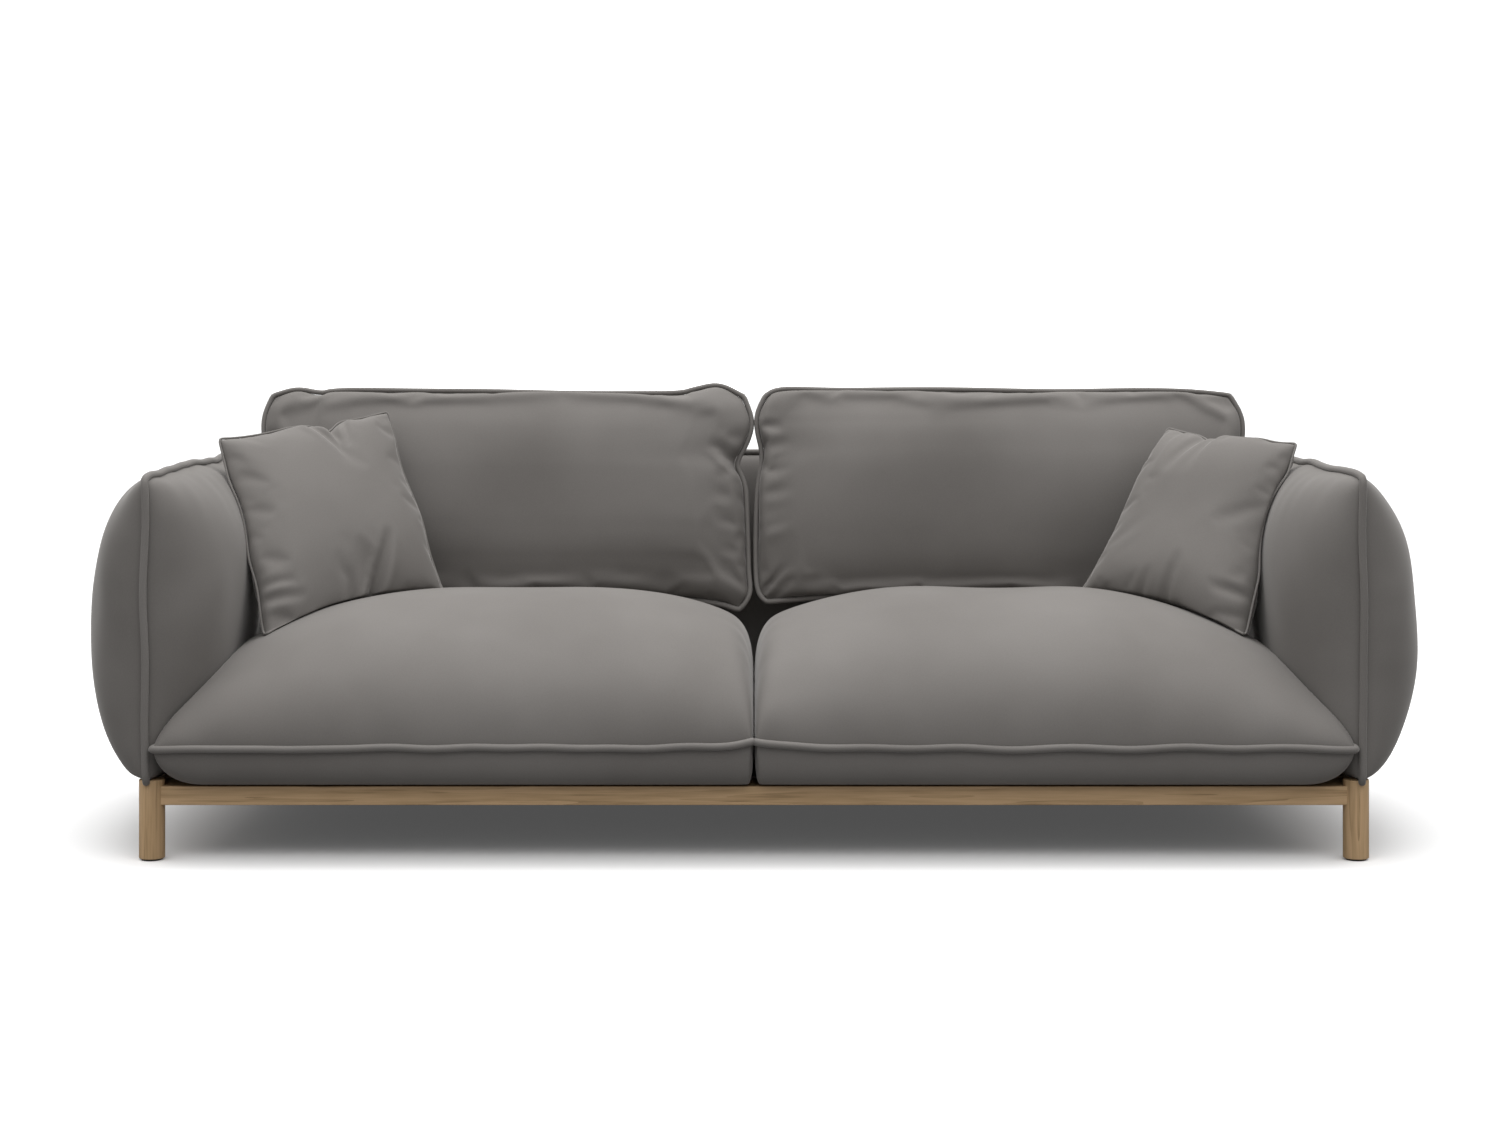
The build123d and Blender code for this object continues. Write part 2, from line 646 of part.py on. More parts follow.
os.makedirs("parts", exist_ok=True)
for name, shape in parts.items():
    export_step(shape, f"parts/{name}.step")
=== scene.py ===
import math

import bmesh
import bpy
import numpy as np
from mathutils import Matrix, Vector


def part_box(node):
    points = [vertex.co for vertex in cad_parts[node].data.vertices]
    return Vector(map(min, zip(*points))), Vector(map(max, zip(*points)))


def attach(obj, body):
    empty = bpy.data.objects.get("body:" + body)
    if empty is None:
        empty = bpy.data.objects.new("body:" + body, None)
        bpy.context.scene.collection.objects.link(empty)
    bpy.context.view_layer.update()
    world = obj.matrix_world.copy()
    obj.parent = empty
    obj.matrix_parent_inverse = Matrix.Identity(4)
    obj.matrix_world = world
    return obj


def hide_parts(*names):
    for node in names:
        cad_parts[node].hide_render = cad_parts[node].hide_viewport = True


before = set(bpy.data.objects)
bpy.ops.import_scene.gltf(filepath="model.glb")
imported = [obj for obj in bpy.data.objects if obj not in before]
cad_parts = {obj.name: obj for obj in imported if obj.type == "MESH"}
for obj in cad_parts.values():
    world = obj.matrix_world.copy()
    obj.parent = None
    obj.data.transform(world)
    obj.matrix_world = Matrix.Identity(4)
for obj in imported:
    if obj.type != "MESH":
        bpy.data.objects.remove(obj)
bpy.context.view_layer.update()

# The sofa faces -Y, +X is on the right as seen from the front, and +Z is up. All lengths are in metres.
# A soft piece is worked out for the right side, and its left twin is mirrored and given folds of its own.
SIDES = (("right", 1), ("left", -1))


# ---------------------------------------------------------------- places from the frame
def corners(node):
    low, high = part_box(node)
    return np.array(low, float), np.array(high, float)


ARM_LOW, ARM_HIGH = corners("arm_cover_right")
ARM_WELT_LOW, ARM_WELT_HIGH = corners("arm_welt_right")
SEAT_LOW, SEAT_HIGH = corners("seat_cover_right")
SEAT_WELT_LOW, SEAT_WELT_HIGH = corners("seat_welt_right")
CUSHION_WELT_LOW = corners("back_cushion_welt_right")[0]
BACK_LOW, BACK_HIGH = corners("back_cover")
BACK_WELT_LOW, BACK_WELT_HIGH = corners("back_welt")
LEG_HIGH = corners("leg_front_right")[1]

# Arms: a flat welted ring, crowned on both sides.
ARM_PLANE = (ARM_WELT_LOW[0] + ARM_WELT_HIGH[0]) / 2
ARM_MIDDLE_Y = (ARM_LOW[1] + ARM_HIGH[1]) / 2
ARM_HALF_Y = (ARM_HIGH[1] - ARM_LOW[1]) / 2
ARM_TOP = ARM_HIGH[2]
ARM_BOTTOM = LEG_HIGH[2] + 0.0015
ARM_SOFT_BOTTOM = ARM_BOTTOM - 0.012
ARM_OUTER_CROWN = 0.158
ARM_OUTER_WIDEST = 0.364
ARM_INNER_CROWN = 0.116
ARM_INNER_WIDEST = 0.455
ARM_INNER_PEAK = -0.34
ARM_INNER_REAR_SHARE = 0.72
WELT_RADIUS = (ARM_WELT_HIGH[0] - ARM_WELT_LOW[0]) / 2
WELT_STEP = 0.006

# Seats: a crowned top over a shallow band, with the welt between them.
SEAT_INNER = SEAT_LOW[0] + 0.0005
SEAT_OUTER = SEAT_HIGH[0] - 0.008
SEAT_FRONT = SEAT_LOW[1] + WELT_RADIUS * 0.4
SEAT_BACK = SEAT_HIGH[1] - 0.002
SEAT_RIM = (SEAT_WELT_LOW[2] + SEAT_WELT_HIGH[2]) / 2 + 0.003
SEAT_BOTTOM = SEAT_LOW[2]
SEAT_CROWN = SEAT_HIGH[2] - SEAT_RIM
SEAT_REAR_CROWN = 0.172
SEAT_FALL_START = -0.16                 # where the top starts to fall towards the back
SEAT_FALL_REACH = 0.62
SEAT_FALL_SHARE = 1.25
SEAT_CREST = (0.55, -0.14)              # about where the top is highest
SEAT_DROOP = 0.006                      # how far the overhanging band sinks in front of the deck
SEAT_STOPS = np.linspace(0, 0.30, 7)    # how far out a seat cushion is, step by step, as it slides
DECK_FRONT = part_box("deck_pad")[0][1]
CLEARANCE = 0.003
# How the top rises from each side: (reach inwards, power of the superellipse).
SEAT_FRONT_RISE = (0.36, 2.08)
SEAT_REAR_RISE = (0.07, 2.2)
SEAT_INNER_SHOULDER = (0.06, 4.0)
SEAT_INNER_SLOPE = (0.35, 2)
SEAT_INNER_SHARES = (0.6, 0.4)
SEAT_OUTER_SHOULDER = (0.035, 2)
SEAT_OUTER_SLOPE = (0.5, 0.72)
SEAT_OUTER_SHARES = (0.22, 0.78)
# How the band under the welt curves in: the same, for the front, back, inner and outer side.
BAND_FRONT = (0.045, 2.6)
BAND_BACK = (0.04, 2.4)
BAND_INNER = (0.012, 3.0)
BAND_OUTER = (0.085, 2.2)

# Back cushions: their middle plane leans back.
CUSHION_LEAN = math.radians(12)
CUSHION_FOOT = np.array([0, CUSHION_WELT_LOW[1] + 0.004, CUSHION_WELT_LOW[2]])
CUSHION_UP = np.array([0, math.sin(CUSHION_LEAN), math.cos(CUSHION_LEAN)])
CUSHION_OUT = np.array([0, -math.cos(CUSHION_LEAN), math.sin(CUSHION_LEAN)])
CUSHION_HALF_THICK = 0.092
CUSHION_SWELL_ROOM = 0.010              # left for the cloth to swell into
CUSHION_ARCH = 0.075                    # how far its skin arches, where its points are spaced along it
CUSHION_WELT_RADIUS = 0.0052
CUSHION_WELT_INSET = 0.9 * CUSHION_WELT_RADIUS
CUSHION_SPAN = (0.98, 0.42)             # about how wide and how tall each is

# Rounded corners of a rim: (how far they are pulled in along each axis, how sharp they stay).
ARM_CORNERS = ((0.011, 0.016), 16)
SEAT_CORNERS = ((0.009, 0.014), 16)
BACK_CORNERS = ((0.006, 0.02), 14)
# Gathers beside a seam: (height, spacing, how far they reach from it).
ARM_END_GATHERS = (0.0012, 0.075, 0.035)
ARM_EDGE_GATHERS = (0.0018, 0.085, 0.04)
SEAT_FRONT_GATHERS = (0.0030, 0.09, 0.045)
SEAT_INNER_GATHERS = (0.0016, 0.08, 0.03)
CUSHION_SIDE_GATHERS = (0.0022, 0.055, 0.04)
CUSHION_END_GATHERS = (0.0018, 0.06, 0.03)
BACK_GATHERS = (0.0016, 0.09, 0.04)

GRID = 0.009                            # the spacing of the points on a cover
BACK_GRID = 0.012
CLOTH_FRAMES = 20
NO_MAIN_AXIS = (0.31, 0.52, 0.79)       # a direction that no seam runs along
NO_WALL = 2.0                           # farther out than anything


# ---------------------------------------------------------------- shapes
def round_edge(distance, reach, power=2.0):
    """0 at an edge and 1 from reach inwards, along a superellipse of that power."""
    share = np.clip(distance / reach, 0, 1)
    return (1 - (1 - share) ** power) ** (1 / power)


def soft_floor(value, floor, softness):
    """value, but eased so that it never drops below floor."""
    above = (value - floor) / softness
    return floor + softness * np.where(above > 20, above, np.log1p(np.exp(np.minimum(above, 20))))


def smooth_step(value):
    share = np.clip(value, 0, 1)
    return share * share * (3 - 2 * share)


def wander(points, seed, wavelength, waves=14):
    """A smooth random field, about -1 to 1, with features about a wavelength across."""
    random = np.random.default_rng(seed)
    total = np.zeros(points.shape[:-1])
    for _ in range(waves):
        direction = random.normal(size=points.shape[-1])
        direction *= 2 * math.pi * random.uniform(0.6, 1.4) / wavelength / np.linalg.norm(direction)
        total += np.cos(points @ direction + random.uniform(0, 2 * math.pi))
    return total / math.sqrt(waves)


def even_steps(curve, step):
    """Parameters from 0 to 1 that are evenly spaced along the curve, about one step apart."""
    fine = (1 - np.cos(np.linspace(0, math.pi, 3001))) / 2
    run = np.linalg.norm(np.diff(curve(fine), axis=0), axis=1)
    length = np.concatenate([[0], np.cumsum(run)])
    count = max(8, round(length[-1] / step))
    return np.interp(np.linspace(0, length[-1], count + 1), length, fine)


def catmull(points, share):
    """A smooth curve through the points, at each share from 0 to 1."""
    knots = np.array(points, float)
    padded = np.concatenate([[2 * knots[0] - knots[1]], knots, [2 * knots[-1] - knots[-2]]])
    run = np.linalg.norm(np.diff(knots, axis=0), axis=1)
    length = np.concatenate([[0], np.cumsum(run)]) / run.sum()
    index = np.clip(np.searchsorted(length, share, side="right") - 1, 0, len(knots) - 2)
    t = ((share - length[index]) / (length[index + 1] - length[index]))[..., None]
    a, b, c, d = (padded[index + k] for k in range(4))
    return 0.5 * (2 * b + (c - a) * t + (2 * a - 5 * b + 4 * c - d) * t**2 + (3 * b - a - 3 * c + d) * t**3)


def coons(bottom, top, first, last, along_u, along_v):
    """A grid that fills four edges: bottom and top run along u, first and last along v."""
    u = along_u[:, None, None]
    v = along_v[None, :, None]
    ruled = (1 - v) * bottom[:, None] + v * top[:, None] + (1 - u) * first[None] + u * last[None]
    corner = (1 - u) * ((1 - v) * bottom[0] + v * top[0]) + u * ((1 - v) * bottom[-1] + v * top[-1])
    return ruled - corner


# ---------------------------------------------------------------- meshes
def mesh_piece(name, points, faces):
    mesh = bpy.data.meshes.new(name)
    mesh.from_pydata(points.tolist(), [], faces.tolist())
    built = bmesh.new()
    built.from_mesh(mesh)
    bmesh.ops.recalc_face_normals(built, faces=built.faces)
    built.to_mesh(mesh)
    built.free()
    mesh.shade_smooth()
    piece = bpy.data.objects.new(name, mesh)
    bpy.context.scene.collection.objects.link(piece)
    return piece


def grid_faces(index):
    return np.stack([index[:-1, :-1], index[1:, :-1], index[1:, 1:], index[:-1, 1:]], -1).reshape(-1, 4)


def two_panels(name, front, back):
    """A closed skin of two fabric panels sewn together along their rims, and its rim's points in order."""
    rows, columns = front.shape[:2]
    ahead = np.arange(rows * columns).reshape(rows, columns)
    behind = ahead.copy()
    inside = (rows - 2, columns - 2)
    behind[1:-1, 1:-1] = rows * columns + np.arange(inside[0] * inside[1]).reshape(inside)
    points = np.concatenate([front.reshape(-1, 3), back[1:-1, 1:-1].reshape(-1, 3)])
    faces = np.concatenate([grid_faces(ahead), grid_faces(behind)[:, ::-1]])
    rim = np.concatenate([ahead[:-1, 0], ahead[-1, :-1], ahead[:0:-1, -1], ahead[0, :0:-1]])
    return mesh_piece(name, points, faces), rim


def coordinates(mesh):
    flat = np.zeros(len(mesh.vertices) * 3, np.float32)
    mesh.vertices.foreach_get("co", flat)
    return flat.reshape(-1, 3).astype(float)


def set_coordinates(piece, points):
    piece.data.vertices.foreach_set("co", points.astype(np.float32).ravel())
    piece.data.update()


def tube(name, path, radius, sides=12):
    """A round cord along the closed path, its section carried along without twisting."""
    ahead = np.roll(path, -1, 0) - np.roll(path, 1, 0)
    ahead /= np.linalg.norm(ahead, axis=1)[:, None]
    across = np.cross(ahead[0], NO_MAIN_AXIS)
    angle = np.arange(sides) * 2 * math.pi / sides
    rings = []
    for centre, direction in zip(path, ahead):
        across = across - direction * (across @ direction)
        across /= np.linalg.norm(across)
        other = np.cross(direction, across)
        rings.append(centre + radius * (np.cos(angle)[:, None] * across + np.sin(angle)[:, None] * other))
    points = np.concatenate(rings)
    index = np.arange(len(path) * sides).reshape(len(path), sides)
    index = np.concatenate([index, index[:, :1]], 1)
    start = int(np.argmin(np.linalg.norm(rings[0] - rings[-1][0], axis=1)))
    first = np.roll(np.arange(sides), -start)
    index = np.concatenate([index, np.append(first, first[0])[None]])
    return mesh_piece(name, points, grid_faces(index))


def resample(path, step):
    """The closed path with its points evenly spaced, about one step apart."""
    line = np.concatenate([path, path[:1]])
    length = np.concatenate([[0], np.cumsum(np.linalg.norm(np.diff(line, axis=0), axis=1))])
    count = max(6, round(length[-1] / step))
    even = np.linspace(0, length[-1], count + 1)
    points = np.stack([np.interp(even, length, line[:, axis]) for axis in range(3)], -1)
    return points[:-1]


def relax(path, rounds):
    """The closed path smoothed a little, a round at a time."""
    for _ in range(rounds):
        middle = (np.roll(path, 1, 0) + np.roll(path, -1, 0)) / 2
        path = (path + middle) / 2
    return path


def subdivide(piece):
    modifier = piece.modifiers.new("subdivide", "SUBSURF")
    modifier.levels = modifier.render_levels = 1
    graph = bpy.context.evaluated_depsgraph_get()
    finished = bpy.data.meshes.new_from_object(piece.evaluated_get(graph))
    piece.modifiers.clear()
    piece.data = finished
    finished.shade_smooth()


def inflate(piece, rim, pressure, growth, cap, bending):
    """Lets the sewn skin swell and fold as cloth with its rim held, and keeps moves of up to about cap."""
    before = coordinates(piece.data)
    piece.vertex_groups.new(name="rim").add([int(i) for i in rim], 1.0, "REPLACE")
    cloth = piece.modifiers.new("swell", "CLOTH")
    settings = cloth.settings
    settings.quality = 5
    settings.mass = 0.3
    settings.tension_stiffness = 15
    settings.compression_stiffness = 15
    settings.shear_stiffness = 5
    settings.bending_stiffness = bending
    settings.use_pressure = True
    settings.uniform_pressure_force = pressure
    settings.shrink_min = -growth
    settings.vertex_group_mass = "rim"
    settings.effector_weights.gravity = 0
    cloth.point_cache.frame_start = 1
    cloth.point_cache.frame_end = CLOTH_FRAMES
    scene = bpy.context.scene
    for number in range(1, CLOTH_FRAMES + 1):
        scene.frame_set(number)
    graph = bpy.context.evaluated_depsgraph_get()
    after = coordinates(piece.evaluated_get(graph).data)
    piece.modifiers.clear()
    piece.vertex_groups.clear()
    scene.frame_set(1)
    move = after - before
    length = np.linalg.norm(move, axis=1)[:, None] + 1e-9
    set_coordinates(piece, before + move / length * cap * np.tanh(length / cap))


def pucker(points, along, distance, seed, height, spacing, reach):
    """How far the fabric stands up beside a seam: soft gathers that run away from it and fade out."""
    wave = wander(np.stack([along, 0.15 * distance], -1), seed, spacing)
    start = 1 - np.exp(-distance / 0.006)
    return height * wave * start * np.exp(-distance / reach)


def creases(places, folds):
    """How far the fabric sinks along its creases.

    Each crease is (start, end, width, depth), and fades to its end.
    """
    total = np.zeros(places.shape[:-1])
    for start, end, width, depth in folds:
        start, run = np.array(start), np.array(end) - np.array(start)
        share = np.clip(((places - start) @ run) / (run @ run), 0, 1)
        aside = np.linalg.norm(places - start - share[..., None] * run, axis=-1) / width
        ridge = 0.45 * np.exp(-((aside - 1.9) ** 2))
        total += depth * (1 - share**1.5) * (np.exp(-(aside**2)) - ridge)
    return total


def spread(path, distance):
    """The closed path moved outwards in its own plane."""
    ahead = np.roll(path, -1, 0) - np.roll(path, 1, 0)
    around = path - path.mean(0)
    plane = np.cross(around, np.roll(around, -1, 0)).sum(0)
    aside = np.cross(ahead, plane)
    return path + distance * aside / np.linalg.norm(aside, axis=1)[:, None]


# ---------------------------------------------------------------- arms
def arm_shares(y, z, widest):
    """Where a point is across the arm: u from front to back and v from bottom to top, each -1 to 1."""
    u = np.clip((y - ARM_MIDDLE_Y) / ARM_HALF_Y, -1, 1)
    above = (z - widest) / (ARM_TOP - widest)
    below = (z - widest) / (widest - ARM_SOFT_BOTTOM)
    return u, np.clip(np.where(z > widest, above, below), -1, 1)


def arm_outer_depth(y, z):
    u, v = arm_shares(y, z, ARM_OUTER_WIDEST)
    return ARM_OUTER_CROWN * np.sqrt((1 - np.abs(u) ** 3) * (1 - np.abs(v) ** 2.5))


def arm_inner_depth(y, z):
    u, v = arm_shares(y, z, ARM_INNER_WIDEST)
    run = np.where(u < ARM_INNER_PEAK, (u - ARM_INNER_PEAK) / (1 + ARM_INNER_PEAK), 0)
    back = np.clip((u - ARM_INNER_PEAK) / (1 - ARM_INNER_PEAK), 0, 1)
    fall = 1 - (1 - ARM_INNER_REAR_SHARE) * smooth_step(back * 1.4)
    return ARM_INNER_CROWN * fall * np.sqrt((1 - np.abs(run) ** 2.3) * (1 - back**6) * (1 - np.abs(v) ** 2))


def arm_inner_face(y, z):
    """How far out the room between the arms goes, at a point."""
    return ARM_PLANE - arm_inner_depth(y, z)


def rounded_corners(u, v, pull, sharpness):
    """Pulls a square grid's corners in, so that its rim turns them round."""
    near = (np.abs(u) * np.abs(v)) ** sharpness
    return u * (1 - pull[0] * near), v * (1 - pull[1] * near)


def make_arm(side, sign, seed):
    half_z = (ARM_TOP - ARM_SOFT_BOTTOM) / 2
    middle_z = (ARM_TOP + ARM_SOFT_BOTTOM) / 2

    def across(t):
        y = ARM_MIDDLE_Y + ARM_HALF_Y * (2 * t - 1)
        return np.stack([y, arm_outer_depth(y, np.full_like(y, ARM_OUTER_WIDEST))], -1)

    def upwards(t):
        z = middle_z + half_z * (2 * t - 1)
        return np.stack([z, arm_outer_depth(np.full_like(z, ARM_MIDDLE_Y), z)], -1)

    u, v = np.meshgrid(2 * even_steps(across, GRID) - 1, 2 * even_steps(upwards, GRID) - 1, indexing="ij")
    flat_y, flat_z = ARM_MIDDLE_Y + ARM_HALF_Y * u, middle_z + half_z * v
    round_u, round_v = rounded_corners(u, v, *ARM_CORNERS)
    place = np.stack([flat_y, flat_z], -1)
    rim_wave = 0.0022 * wander(place, seed, 0.16) * np.abs(v) ** 8
    rim_lean = 0.002 * wander(place, seed + 1, 0.22)
    panels = []
    for depth, face in ((arm_outer_depth, 1), (arm_inner_depth, -1)):
        bulge = depth(flat_y, flat_z)
        edge_y, edge_z = ARM_HALF_Y * (1 - np.abs(u)), half_z * (1 - np.abs(v))
        bulge = bulge + pucker(place, flat_z, edge_y, seed + 2 + face, *ARM_END_GATHERS)
        bulge = bulge + pucker(place, flat_y, edge_z, seed + 6 + face, *ARM_EDGE_GATHERS)
        bulge = bulge + 0.0015 * wander(place, seed + 9 + face, 0.30) * np.minimum(1, bulge / 0.06)
        edge = (np.abs(u) > 0.9999) | (np.abs(v) > 0.9999)
        bulge = np.where(edge, 0, bulge)
        x = ARM_PLANE + face * bulge + rim_lean
        y = ARM_MIDDLE_Y + ARM_HALF_Y * round_u
        z = soft_floor(middle_z + half_z * round_v + rim_wave, ARM_BOTTOM, 0.004)
        panels.append(np.stack([sign * x, y, z], -1))
    cover, rim = two_panels("arm_pad_" + side, *panels)
    path = coordinates(cover.data)[rim]
    subdivide(cover)
    path = spread(resample(relax(path, 6), WELT_STEP), 0.75 * WELT_RADIUS)
    welt = tube("arm_piping_" + side, path, WELT_RADIUS)
    return cover, welt


# ---------------------------------------------------------------- seats
def seat_rise(x, y):
    """The top's height over its rim, at a distance x from the middle of the sofa."""
    front = round_edge(y - SEAT_FRONT, *SEAT_FRONT_RISE)
    rear = round_edge(SEAT_BACK - y, *SEAT_REAR_RISE)
    shoulder = round_edge(x - SEAT_INNER, *SEAT_INNER_SHOULDER)
    incline = round_edge(x - SEAT_INNER, *SEAT_INNER_SLOPE)
    inner = SEAT_INNER_SHARES[0] * shoulder + SEAT_INNER_SHARES[1] * incline
    reach, power = SEAT_OUTER_SLOPE
    long_slope = (1 - (1 - np.clip((SEAT_OUTER - x) / reach, 0, 1)) ** 2) ** power
    shoulder = round_edge(SEAT_OUTER - x, *SEAT_OUTER_SHOULDER)
    outer = SEAT_OUTER_SHARES[1] * long_slope + SEAT_OUTER_SHARES[0] * shoulder
    fall = smooth_step((y - SEAT_FALL_START) / SEAT_FALL_REACH) * (SEAT_CROWN - SEAT_REAR_CROWN)
    return (SEAT_CROWN - fall * SEAT_FALL_SHARE) * front * rear * inner * outer


def seat_top(x, y):
    return SEAT_RIM + seat_rise(x, y)


def rest_on_seat(points):
    """Eases the points that are near a seat or in it up to just over its top."""
    over = seat_top(np.abs(points[:, 0]), points[:, 1]) + CLEARANCE
    eased = soft_floor(points[:, 2], over, 0.004)
    points[:, 2] = np.where(points[:, 2] < over + 0.03, eased, points[:, 2])


def make_seat(side, sign, seed):
    def across(t):
        x = SEAT_INNER + (SEAT_OUTER - SEAT_INNER) * t
        return np.stack([x, seat_rise(x, np.full_like(x, SEAT_CREST[1]))], -1)

    def along(t):
        y = SEAT_FRONT + (SEAT_BACK - SEAT_FRONT) * t
        return np.stack([y, seat_rise(np.full_like(y, SEAT_CREST[0]), y)], -1)

    s, t = np.meshgrid(even_steps(across, GRID), even_steps(along, GRID), indexing="ij")
    u, v = rounded_corners(2 * s - 1, 2 * t - 1, *SEAT_CORNERS)
    x = SEAT_INNER + (SEAT_OUTER - SEAT_INNER) * (u + 1) / 2
    y = SEAT_FRONT + (SEAT_BACK - SEAT_FRONT) * (v + 1) / 2
    nominal_x = SEAT_INNER + (SEAT_OUTER - SEAT_INNER) * s
    nominal_y = SEAT_FRONT + (SEAT_BACK - SEAT_FRONT) * t
    place = np.stack([nominal_x, nominal_y], -1)
    edge = (s < 1e-6) | (s > 1 - 1e-6) | (t < 1e-6) | (t > 1 - 1e-6)
    near_front = np.exp(-(nominal_y - SEAT_FRONT) / 0.05)
    rim_wave = near_front * (0.0022 * wander(place, seed, 0.17) + 0.009 * np.exp(-nominal_x / 0.045))
    rise = seat_rise(nominal_x, nominal_y)
    gathers = pucker(place, nominal_x, nominal_y - SEAT_FRONT, seed + 1, *SEAT_FRONT_GATHERS)
    gathers = gathers + pucker(place, nominal_y, nominal_x - SEAT_INNER, seed + 2, *SEAT_INNER_GATHERS)
    swell = 0.0022 * wander(place, seed + 3, 0.42) * np.minimum(1, rise / 0.1)
    top_z = SEAT_RIM + rim_wave + np.where(edge, 0, rise + gathers + swell)
    band = round_edge(nominal_y - SEAT_FRONT, *BAND_FRONT) * round_edge(SEAT_BACK - nominal_y, *BAND_BACK)
    band = band * round_edge(nominal_x - SEAT_INNER, *BAND_INNER)
    band = band * round_edge(SEAT_OUTER - nominal_x, *BAND_OUTER)
    droop = SEAT_DROOP * smooth_step((DECK_FRONT - nominal_y) / 0.03)
    bottom_z = SEAT_RIM + rim_wave + (SEAT_BOTTOM - droop - SEAT_RIM - rim_wave) * np.where(edge, 0, band)
    panels = []
    for z in (top_z, bottom_z):
        low_z = np.where(edge, SEAT_RIM, z)
        room = [arm_inner_face(y - pulled, np.maximum(low_z, SEAT_RIM)) for pulled in SEAT_STOPS]
        wall = np.minimum(np.min(room, axis=0), ARM_PLANE - WELT_RADIUS) - CLEARANCE
        wall = np.where(y < ARM_LOW[1] - WELT_RADIUS, SEAT_OUTER, wall)
        panels.append(np.stack([sign * np.minimum(x, wall), y, z], -1))
    cover, rim = two_panels("seat_cushion_" + side, *panels)
    path = coordinates(cover.data)[rim]
    subdivide(cover)
    path = resample(relax(path, 6), WELT_STEP)
    front = smooth_step((ARM_LOW[1] - path[:, 1]) / 0.02)[:, None]
    path = path + (spread(path, 0.45 * WELT_RADIUS) - path) * front
    welt = tube("seat_piping_" + side, path, WELT_RADIUS)
    return cover, welt


# ---------------------------------------------------------------- back cushions
# Outlines on the leaning middle plane: (distance from the sofa's middle, height up the lean).
CUSHION_EDGES = {
    "left": {
        "bottom": (
            (0.026, -0.026), (0.075, -0.012), (0.2, 0.0), (0.5, 0.004), (0.8, 0.0), (0.925, 0.0),
        ),
        "top": (
            (0.02, 0.412), (0.069, 0.434), (0.12, 0.424), (0.176, 0.4155), (0.45, 0.4185),
            (0.822, 0.423), (0.887, 0.417), (0.938, 0.425), (0.985, 0.413),
        ),
        "first": (
            (0.026, -0.026), (0.008, 0.003), (0.011, 0.044), (0.013, 0.115), (0.018, 0.225),
            (0.036, 0.27), (0.014, 0.318), (0.004, 0.362), (0.02, 0.412),
        ),
        "last": (
            (0.925, 0.0), (0.935, 0.057), (0.95, 0.139), (0.968, 0.23), (0.992, 0.3), (1.0, 0.365),
            (0.985, 0.413),
        ),
    },
    "right": {
        "bottom": (
            (0.022, -0.01), (0.075, -0.006), (0.2, 0.002), (0.5, 0.004), (0.8, 0.0), (0.925, 0.0),
        ),
        "top": (
            (0.022, 0.412), (0.055, 0.4255), (0.2, 0.4245), (0.42, 0.4235), (0.62, 0.421), (0.8, 0.423),
            (0.9, 0.4205), (0.975, 0.413),
        ),
        "first": (
            (0.022, -0.01), (0.007, 0.013), (0.004, 0.1045), (0.008, 0.2165), (0.017, 0.288),
            (0.006, 0.345), (0.007, 0.378), (0.022, 0.412),
        ),
        "last": (
            (0.925, 0.0), (0.935, 0.057), (0.95, 0.139), (0.968, 0.23), (0.99, 0.3), (0.996, 0.365),
            (0.975, 0.413),
        ),
    },
}

# Creases on their faces, as creases() takes them.
CUSHION_CREASES = {
    "left": (
        ((0.030, 0.270), (0.095, 0.315), 0.011, 0.013),
        ((0.028, 0.262), (0.075, 0.235), 0.009, 0.006),
        ((0.178, 0.416), (0.105, 0.400), 0.009, 0.004),
        ((0.887, 0.418), (0.945, 0.395), 0.010, 0.005),
        ((0.014, 0.190), (0.085, 0.205), 0.009, 0.004),
        ((0.012, 0.140), (0.075, 0.150), 0.008, 0.004),
        ((0.011, 0.085), (0.070, 0.092), 0.008, 0.004),
        ((0.014, 0.020), (0.075, 0.060), 0.010, 0.005),
    ),
    "right": (
        ((0.010, 0.345), (0.060, 0.350), 0.008, 0.006),
        ((0.016, 0.300), (0.075, 0.315), 0.009, 0.009),
        ((0.012, 0.250), (0.080, 0.258), 0.008, 0.004),
        ((0.006, 0.200), (0.080, 0.215), 0.010, 0.005),
        ((0.006, 0.130), (0.070, 0.145), 0.009, 0.003),
        ((0.015, 0.005), (0.062, 0.062), 0.007, 0.007),
        ((0.035, -0.006), (0.080, 0.035), 0.007, 0.006),
        ((0.900, 0.420), (0.950, 0.385), 0.010, 0.005),
    ),
}


def cushion_point(a, b, out):
    """A point at a across, b up the lean and out in front of the middle plane."""
    place = CUSHION_FOOT + a[..., None] * np.array([1, 0, 0])
    return place + b[..., None] * CUSHION_UP + out[..., None] * CUSHION_OUT


